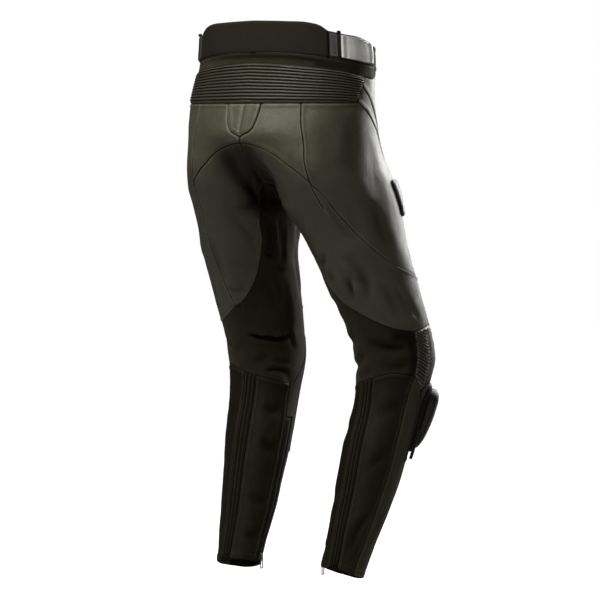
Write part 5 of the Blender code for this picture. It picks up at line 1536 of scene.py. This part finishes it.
# ---------------------------------------------------------------- rows made by Geometry Nodes
def row_mesh(name, rows):
    """A mesh of open lines, one for each row of (points, outward directions)."""
    points, edges, ups = [], [], []
    for line, normals in rows:
        start = len(points)
        points += line.tolist()
        ups += normals.tolist()
        edges += [(start + k, start + k + 1) for k in range(len(line) - 1)]
    mesh = bpy.data.meshes.new(name)
    mesh.from_pydata(points, edges, [])
    up = mesh.attributes.new("up", "FLOAT_VECTOR", "POINT")
    up.data.foreach_set("vector", np.array(ups, np.float32).ravel())
    return mesh


def line_tree(name, sizes):
    """The start of a tree that dresses lines: the tree, its inputs and the lines as curves."""
    tree = bpy.data.node_groups.new(name, "GeometryNodeTree")
    for way in ("INPUT", "OUTPUT"):
        tree.interface.new_socket("Geometry", in_out=way, socket_type="NodeSocketGeometry")
    for label, value in sizes.items():
        number_input(tree, label, value)
    given = tree.nodes.new("NodeGroupInput").outputs
    return tree, given, output(tree, "GeometryNodeMeshToCurve", {"Mesh": given["Geometry"]})


def ended(tree, form, material):
    """The tree, ended with real faces in their material."""
    real = output(tree, "GeometryNodeRealizeInstances", {"Geometry": form})
    done = output(tree, "GeometryNodeSetMaterial", {"Geometry": real, "Material": material})
    tree.links.new(done, tree.nodes.new("NodeGroupOutput").inputs[0])
    return tree


def row_tree(name, solid, material):
    """A tree that sets a small solid along each line: a stitch, or a block such as a zip tooth."""
    sizes = {"Spacing": 0.0036, "Length": 0.0026, "Width": 0.0007, "Height": 0.0006}
    tree, given, curve = line_tree(name, sizes)
    points = add(tree, "GeometryNodeCurveToPoints", {"Curve": curve, "Length": given["Spacing"]},
                 mode="LENGTH").outputs
    up = output(tree, "GeometryNodeInputNamedAttribute", {"Name": "up"}, data_type="FLOAT_VECTOR")
    along = output(tree, "FunctionNodeAlignRotationToVector", {"Vector": points["Tangent"]}, axis="X")
    turned = output(tree, "FunctionNodeAlignRotationToVector", {"Rotation": along, "Vector": up},
                    axis="Z", pivot_axis="X")
    size = output(tree, "ShaderNodeCombineXYZ",
                  {0: given["Length"], 1: given["Width"], 2: given["Height"]})
    if solid == "stitch":
        ball = output(tree, "GeometryNodeMeshUVSphere", {"Segments": 6, "Rings": 3, "Radius": 0.5})
        lying = output(tree, "GeometryNodeTransform",
                       {"Geometry": ball, "Rotation": (0, math.pi / 2, 0)})
        sized = output(tree, "GeometryNodeTransform", {"Geometry": lying, "Scale": size})
        form = output(tree, "GeometryNodeSetShadeSmooth", {"Geometry": sized})
    else:
        form = output(tree, "GeometryNodeMeshCube", {"Size": size})
    placed = output(tree, "GeometryNodeInstanceOnPoints",
                    {"Points": points[0], "Instance": form, "Rotation": turned})
    return ended(tree, placed, material)


def tube_tree(name, material):
    """A tree that makes a round tube, such as piping, along each line."""
    tree, given, curve = line_tree(name, {"Width": 0.0016})
    radius = times(tree, given["Width"], 0.5)
    ring = output(tree, "GeometryNodeCurvePrimitiveCircle", {"Resolution": 8, "Radius": radius})
    round_form = output(tree, "GeometryNodeCurveToMesh",
                        {"Curve": curve, "Profile Curve": ring, "Fill Caps": True})
    soft = output(tree, "GeometryNodeSetShadeSmooth", {"Geometry": round_form})
    return ended(tree, soft, material)


def grown(name, rows, tree, **sizes):
    """The plain mesh that a Geometry Nodes tree makes from rows of points, as a new object."""
    carrier = new_object(name + "_carrier", row_mesh(name, [row for row in rows if row]))
    modifier = carrier.modifiers.new("Rows", "NODES")
    modifier.node_group = tree
    for item in tree.interface.items_tree:
        if item.item_type == "SOCKET" and item.in_out == "INPUT" and item.name in sizes:
            modifier[item.identifier] = sizes[item.name]
    graph = bpy.context.evaluated_depsgraph_get()
    made = bpy.data.meshes.new_from_object(carrier.evaluated_get(graph))
    if not len(made.polygons):
        raise RuntimeError(f"{name}: the node tree made no faces")
    made.name = name
    bpy.data.objects.remove(carrier, do_unlink=True)
    return new_object(name, made)


STITCH_TO_SEAM, STITCH_ROOM = 0.8, 0.004     # rows end this near other seams: share, most


def stitch_row(name, seam, aside, side, lift):
    """A row beside a seam of a piece: points and outward directions, or None."""
    ring = flat(outline(next(ring for ring in PIECES[name][0] if seam in ring)))
    line = flat(LINES[seam])
    spots = line + inward(line, ring) * aside
    keep = inside(spots, ring)
    for other in seams_of(name):
        keep &= distance(spots, flat(LINES[other])) > STITCH_TO_SEAM * min(aside, STITCH_ROOM)
    return on_cloth(name, unflat(spots[keep]), side, lift) if keep.sum() > 2 else None


STITCH_LIFT = 0.00012        # height of a stitch's middle above its cloth
FORM_STITCH_LIFT = 0.0001    # the same above a laid piece
# rows of stitches on laid pieces: piece, the places they run through
FORM_STITCHES = (
    ("waist_strap", [(-0.052, -0.0195), (-0.052, 0.0130)]),
    ("waist_strap", [(-0.036, -0.0200), (-0.036, 0.0128)]),
    ("waist_strap", [(0.255, -0.0325), (0.255, 0.0010)]),
    ("waist_strap", [(-0.052, -0.0195), (0.090, -0.0278), (0.240, -0.0320)]),
    ("waist_strap", [(-0.052, 0.0125), (0.050, 0.0100), (0.240, 0.0030)]),
    ("strap_tab", [(0.414, -0.0375), (0.414, -0.0012)]),
    ("strap_tab", [(0.406, -0.0375), (0.406, -0.0012)]),
)


def stitch_rows(side):
    """Every row of stitching on one half."""
    rows = []
    for table, offsets in ((LAPS, STITCH_BESIDE), (HEMS, (HEM_STITCH,))):
        for name, seams in table.items():
            own_side = -1 if name.endswith("_right") else 1
            if name in SINGLE and side != own_side:
                continue
            for seam in seams.split():
                rows += [stitch_row(name, seam, aside, side, STITCH_LIFT) for aside in offsets]
    for name, places in FORM_STITCHES:
        rows.append(on_form(name, line_through(places, step=0.003), side, FORM_STITCH_LIFT))
    return rows


# ---------------------------------------------------------------- settings
def number(label, description, value, unit="LENGTH", **limits):
    return FloatProperty(name=label, description=description, default=value, unit=unit, **limits)


def paint(label, *value):
    return FloatVectorProperty(name=label, description=f"Colour of the {label.lower()}",
                               default=value, size=3, min=0, max=1, subtype="COLOR")


class TrousersCloth(bpy.types.PropertyGroup):
    grid_step: number("Point spacing", "Spacing of the cloth's points", 0.0050, min=0.003)
    wall: number("Cloth wall", "Thickness of leather and knit", 0.0020, min=0.001, max=0.003)
    crease: number("Crease depth", "Depth of the creases, 1 as placed", 1.55, "NONE")
    seam_roll: number("Seam roll", "How far a panel's edge turns in", 0.0012)


class TrousersRibs(bpy.types.PropertyGroup):
    back_rib: number("Back rib height", "Height of the back's ribs", 0.0031)
    knee_ribs: IntProperty(name="Knee ribs", description="Ribs over the knee's height",
                           default=20, min=10)
    knee_rib: number("Knee rib height", "Height of the knee's ribs", 0.0028)
    gusset_rib: number("Calf rib height", "Height of the calf's ribs", 0.0030)


class TrousersStitches(bpy.types.PropertyGroup):
    spacing: number("Stitch spacing", "Distance from stitch to stitch", 0.0038)
    length: number("Stitch length", "Length of thread that shows", 0.0029)
    thickness: number("Thread thickness", "Diameter of the thread", 0.0007)
    piping: number("Piping thickness", "Diameter of the piping", 0.0015)
    tooth: number("Zip tooth pitch", "Distance between zip teeth", 0.0021)


class TrousersFinish(bpy.types.PropertyGroup):
    leather: paint("Seat and thigh leather", 0.0485, 0.0455, 0.0275)
    leather_dark: paint("Knee and calf leather", 0.0060, 0.0048, 0.0018)
    # lighter than the panels' leather, partly to paint the highlight on the rib crests
    leather_rib: paint("Knee rib leather", 0.120, 0.113, 0.090)
    leather_strip: paint("Shin strip leather", 0.042, 0.0390, 0.0210)
    # a light leather, made lighter still to paint the strap's highlight
    leather_strap: paint("Waist strap leather", 0.50, 0.490, 0.455)
    waistband: paint("Waistband", 0.0125, 0.0108, 0.0070)
    knit: paint("Stretch knit", 0.0150, 0.0130, 0.0058)
    slider: paint("Knee slider", 0.0085, 0.0080, 0.0048)
    hard_black: paint("Black fittings", 0.0045, 0.0045, 0.0045)
    metal: paint("Zip metal", 0.13, 0.126, 0.115)
    thread: paint("Thread", 0.030, 0.028, 0.022)
    # lighter than the panels' leather, partly to paint the piping's highlight
    piping: paint("Piping", 0.085, 0.080, 0.068)
    floor: paint("Floor", 0.35, 0.35, 0.35)


class TrousersStudio(bpy.types.PropertyGroup):
    azimuth: number("Camera azimuth", "Angle round the trousers", math.radians(212), "ROTATION")
    elevation: number("Camera elevation", "Angle above the horizon", math.radians(3.5), "ROTATION")
    distance: number("Camera distance", "From the lens to the trousers", 5.0)
    floor_drop: number("Floor", "Depth of the floor below the waist", 0.985)
    key: number("Key light", "Power of the light above the camera", 64.0, "POWER")
    rim: number("Rim light", "Power of the light behind the hip", 46.0, "POWER")
    fill: number("Fill light", "Power of the broad, low light", 9.0, "POWER")


SETTINGS = {"trousers_cloth": TrousersCloth, "trousers_ribs": TrousersRibs,
            "trousers_stitches": TrousersStitches, "trousers_finish": TrousersFinish,
            "trousers_studio": TrousersStudio}


# ---------------------------------------------------------------- operators
class TROUSERS_OT_finishes(bpy.types.Operator):
    """Builds the shader groups and one material for each finish"""
    bl_idname = "trousers.finishes"
    bl_label = "Finishes"

    def execute(self, context):
        build_materials()
        return {"FINISHED"}


class TROUSERS_OT_leather(bpy.types.Operator):
    """Makes the leather panels of the seat, hips, thighs, knees and calves"""
    bl_idname = "trousers.leather"
    bl_label = "Leather panels"

    def execute(self, context):
        for name in ("seat", "back_thigh", "hip", "side_thigh", "hip_strip", "knee_panel",
                     "shin_strip", "shin_panel", "calf_outer", "calf_inner"):
            make_pair(name)
        make_cloth("front_thigh_left", (1,))
        make_cloth("front_thigh_right", (-1,))
        make_cloth("fly_flap", (1,))
        make_cloth("tailbone_pad", BOTH)
        return {"FINISHED"}


class TROUSERS_OT_knit(bpy.types.Operator):
    """Makes the stretch knit of the inner legs and of the band under the waist"""
    bl_idname = "trousers.knit"
    bl_label = "Stretch knit"

    def execute(self, context):
        make_pair("stretch")
        make_cloth("stretch_band", BOTH)
        return {"FINISHED"}


class TROUSERS_OT_ribs(bpy.types.Operator):
    """Makes the ribbed panels of the back, the knees and the calves"""
    bl_idname = "trousers.ribs"
    bl_label = "Ribbed panels"

    def execute(self, context):
        make_cloth("back_accordion", BOTH)
        make_pair("knee_accordion")
        make_pair("calf_gusset")
        return {"FINISHED"}


class TROUSERS_OT_waistband(bpy.types.Operator):
    """Makes the waistband: the raised back panel, the sides and the fronts"""
    bl_idname = "trousers.waistband"
    bl_label = "Waistband"

    def execute(self, context):
        make_cloth("waistband_back", BOTH)
        make_pair("waistband_side")
        make_pair("waistband_front")
        return {"FINISHED"}


class TROUSERS_OT_adjusters(bpy.types.Operator):
    """Makes the waist straps with their tabs and bars"""
    bl_idname = "trousers.adjusters"
    bl_label = "Waist adjusters"

    def execute(self, context):
        for name in ("strap_tab", "strap_ring", "strap_knob", "waist_strap"):
            make_laid_on(name)
        return {"FINISHED"}


class TROUSERS_OT_sliders(bpy.types.Operator):
    """Makes the knee sliders on their bases, and the patch on the right thigh"""
    bl_idname = "trousers.sliders"
    bl_label = "Knee sliders and thigh patch"

    def execute(self, context):
        for name in ("slider_base", "knee_slider", "slider_tab_a", "slider_tab_b", "thigh_patch"):
            make_laid_on(name)
        return {"FINISHED"}


ZIP_FROM, ZIP_TO = 0.673, 0.9215     # drops between which the teeth run
TEETH_ASIDE, TEETH_LIFT = 0.0011, 0.0006
TOOTH_WIDTH, TOOTH_HEIGHT = 0.0028, 0.0012
TOOTH_SHARE = 0.55                   # length of a tooth as a share of the pitch


def teeth_row(side, aside):
    """A line along the ankle zip, to one side of its middle."""
    drops = np.arange(ZIP_FROM, ZIP_TO, 0.004)
    turns = (1 - abs(aside) / girth_at(drops)) * (1 if aside > 0 else -1)
    return on_cloth("ankle_zip", np.stack([turns, drops], -1), side, TEETH_LIFT)


class TROUSERS_OT_zips(bpy.types.Operator):
    """Makes the ankle zips: their tapes, teeth, sliders and pulls"""
    bl_idname = "trousers.zips"
    bl_label = "Ankle zips"

    def execute(self, context):
        make_pair("ankle_zip")
        pitch = context.scene.trousers_stitches.tooth
        tree = row_tree("Zip teeth", "block", finish_of("hard_black"))
        for side, side_name in SIDES:
            rows = [teeth_row(side, aside) for aside in (TEETH_ASIDE, -TEETH_ASIDE)]
            teeth = grown("zip_teeth" + side_name, rows, tree, Spacing=pitch,
                          Length=pitch * TOOTH_SHARE, Width=TOOTH_WIDTH, Height=TOOTH_HEIGHT)
            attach(teeth, BODY)
            make_fitting("zip_slider" + side_name, BODY)
            make_fitting("zip_pull" + side_name, "pull" + side_name)
        return {"FINISHED"}


METAL_SHARP = math.radians(35)       # edges of metal sharper than this stay sharp
BEVEL_FROM = 0.5                     # angle of the edges that are softened
BEVEL_WIDTH = 0.00028


def make_fitting(node, body):
    """A metal fitting with its solid's form and softened edges."""
    bm = bmesh.new()
    bm.from_mesh(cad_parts[node].data)
    bmesh.ops.remove_doubles(bm, verts=bm.verts, dist=1e-6)
    bmesh.ops.dissolve_limit(bm, angle_limit=0.02, verts=bm.verts, edges=bm.edges)
    sharp = [edge for edge in bm.edges if edge.calc_face_angle(0) > BEVEL_FROM]
    bmesh.ops.bevel(bm, geom=sharp, offset=BEVEL_WIDTH, segments=2, profile=0.6, affect="EDGES")
    bmesh.ops.recalc_face_normals(bm, faces=bm.faces)
    mesh = bpy.data.meshes.new(node + "_form")
    bm.to_mesh(mesh)
    bm.free()
    mesh.shade_smooth()
    mesh.set_sharp_from_angle(angle=METAL_SHARP)
    mesh.materials.append(finish_of("metal"))
    piece = new_object(node + "_form", mesh)
    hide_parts(node)
    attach(piece, body)


# piped seams: piece, seam, distance beside the seam, lift above the cloth
PIPING = (
    ("waistband_back", "waist_back", 0.0004, 0.0004),
    ("waistband_side", "waist_side", 0.0004, 0.0004),
    ("back_accordion", "band_low", 0.0006, 0.0003),
    ("back_accordion", "accordion_end", 0.0016, 0.0002),
    ("back_accordion", "accordion_end_low", 0.0016, 0.0002),
    ("seat", "yoke_seat", 0.0003, 0.0003), ("hip", "yoke_side", 0.0003, 0.0003),
    ("side_thigh", "arch_side", 0.0003, 0.0001), ("side_thigh", "leather_hem", 0.0003, 0.0),
    ("knee_panel", "strip_upper", 0.0004, 0.0005), ("shin_strip", "strip_upper", 0.0052, 0.0005),
    ("shin_panel", "strip_lower", 0.0004, 0.0002),
)


class TROUSERS_OT_piping(bpy.types.Operator):
    """Lays light piping along the seams that have it"""
    bl_idname = "trousers.piping"
    bl_label = "Piping"

    def execute(self, context):
        thick = context.scene.trousers_stitches.piping
        tree = tube_tree("Piping tube", finish_of("piping"))
        for side, side_name in SIDES:
            rows = [stitch_row(name, seam, aside, side, lift) for name, seam, aside, lift in PIPING]
            piece = grown("piping" + side_name, rows, tree, Width=thick)
            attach(piece, BODY)
        return {"FINISHED"}


class TROUSERS_OT_stitching(bpy.types.Operator):
    """Sews the rows of stitches beside the seams and hems"""
    bl_idname = "trousers.stitching"
    bl_label = "Stitching"

    def execute(self, context):
        sizes = context.scene.trousers_stitches
        tree = row_tree("Stitch rows", "stitch", finish_of("thread"))
        for side, side_name in SIDES:
            piece = grown("stitching" + side_name, stitch_rows(side), tree, Spacing=sizes.spacing,
                          Length=sizes.length, Width=sizes.thickness, Height=sizes.thickness * 0.8)
            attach(piece, BODY)
        return {"FINISHED"}


AIM = Vector((-0.017, -0.0106, -0.440))
PIXELS_PER_METRE = 549   # at the aim, in an image 600 pixels wide
IMAGE_WIDTH = 600
SENSOR_WIDTH = 36
FLOOR_HALF = 14.0
ROOM_LIGHT = 0.13        # strength of the light from all round
# lamps: setting of the power, width and height, azimuth, elevation, distance, height over the aim
LAMPS = (
    ("key", (1.0, 1.0), 176, 48, 1.9, 0.32),
    ("rim", (0.6, 1.5), 352, 20, 1.8, 0.20),
    ("fill", (2.4, 2.0), 212, 15, 3.2, 0.0),
)


def direction(azimuth, elevation):
    """Unit vector from the trousers towards an azimuth and an elevation."""
    return Vector((math.sin(azimuth) * math.cos(elevation),
                   -math.cos(azimuth) * math.cos(elevation), math.sin(elevation)))


def facing(name, data, aim, away):
    """A camera or lamp, some way away from the place it faces."""
    made = new_object(name, data)
    made.location = aim + away
    made.rotation_mode = "QUATERNION"
    made.rotation_quaternion = away.to_track_quat("Z", "Y")
    return made


def soft_light(name, power, size, azimuth, elevation, far, raised):
    light = bpy.data.lights.new(name, "AREA")
    light.energy = power
    light.shape = "RECTANGLE"
    light.size, light.size_y = size
    away = direction(math.radians(azimuth), math.radians(elevation)) * far
    facing(name, light, AIM + Vector((0, 0, raised)), away)


class TROUSERS_OT_studio(bpy.types.Operator):
    """Makes the floor, the soft lights, the white surroundings and the camera"""
    bl_idname = "trousers.studio"
    bl_label = "Studio"

    def execute(self, context):
        scene = context.scene
        studio = scene.trousers_studio
        lens = bpy.data.cameras.new("camera")
        lens.sensor_width = SENSOR_WIDTH
        lens.lens = SENSOR_WIDTH * studio.distance * PIXELS_PER_METRE / IMAGE_WIDTH
        away = direction(studio.azimuth, studio.elevation) * studio.distance
        scene.camera = facing("camera", lens, AIM, away)

        mesh = bpy.data.meshes.new("floor")
        corners = [(x * FLOOR_HALF, y * FLOOR_HALF, -studio.floor_drop)
                   for x, y in ((-1, -1), (1, -1), (1, 1), (-1, 1))]
        mesh.from_pydata(corners, [], [(0, 1, 2, 3)])
        mesh.materials.append(finish_of("floor"))
        new_object("floor", mesh)

        for name, *form in LAMPS:
            soft_light(name + " light", getattr(studio, name), *form)
        self.surround(scene)
        scene.view_settings.view_transform = "Standard"
        return {"FINISHED"}

    def surround(self, scene):
        """White where the camera looks past the trousers, and dim light from all round."""
        world = scene.world = bpy.data.worlds.new("studio")
        world.use_nodes = True
        tree = world.node_tree
        tree.nodes.clear()
        dim, seen = (output(tree, "ShaderNodeBackground", {"Color": WHITE, "Strength": strength})
                     for strength in (ROOM_LIGHT, 1.0))
        by_camera = add(tree, "ShaderNodeLightPath").outputs["Is Camera Ray"]
        both = output(tree, "ShaderNodeMixShader", {0: by_camera, 1: dim, 2: seen})
        add(tree, "ShaderNodeOutputWorld", {"Surface": both}, is_active_output=True)


OPERATORS = (TROUSERS_OT_finishes, TROUSERS_OT_leather, TROUSERS_OT_knit, TROUSERS_OT_ribs,
             TROUSERS_OT_waistband, TROUSERS_OT_adjusters, TROUSERS_OT_sliders,
             TROUSERS_OT_zips, TROUSERS_OT_piping, TROUSERS_OT_stitching, TROUSERS_OT_studio)


class TROUSERS_PT_sidebar(bpy.types.Panel):
    """The trousers' settings and steps"""
    bl_idname = "TROUSERS_PT_sidebar"
    bl_label = "Motorcycle trousers"
    bl_space_type = "VIEW_3D"
    bl_region_type = "UI"
    bl_category = "Trousers"

    def draw(self, context):
        for attribute, group in SETTINGS.items():
            box = self.layout.box()
            for name in group.__annotations__:
                box.prop(getattr(context.scene, attribute), name)
        for operator in OPERATORS:
            self.layout.operator(operator.bl_idname)


def register():
    for group in SETTINGS.values():
        bpy.utils.register_class(group)
    for attribute, group in SETTINGS.items():
        setattr(bpy.types.Scene, attribute, PointerProperty(type=group))
    for made in OPERATORS:
        bpy.utils.register_class(made)
    bpy.utils.register_class(TROUSERS_PT_sidebar)


def unregister():
    bpy.utils.unregister_class(TROUSERS_PT_sidebar)
    for made in reversed(OPERATORS):
        bpy.utils.unregister_class(made)
    for attribute in SETTINGS:
        delattr(bpy.types.Scene, attribute)
    for group in reversed(list(SETTINGS.values())):
        bpy.utils.unregister_class(group)


def main():
    register()
    for operator in OPERATORS:
        family, name = operator.bl_idname.split(".")
        getattr(getattr(bpy.ops, family), name)()


if __name__ == "__main__":
    main()
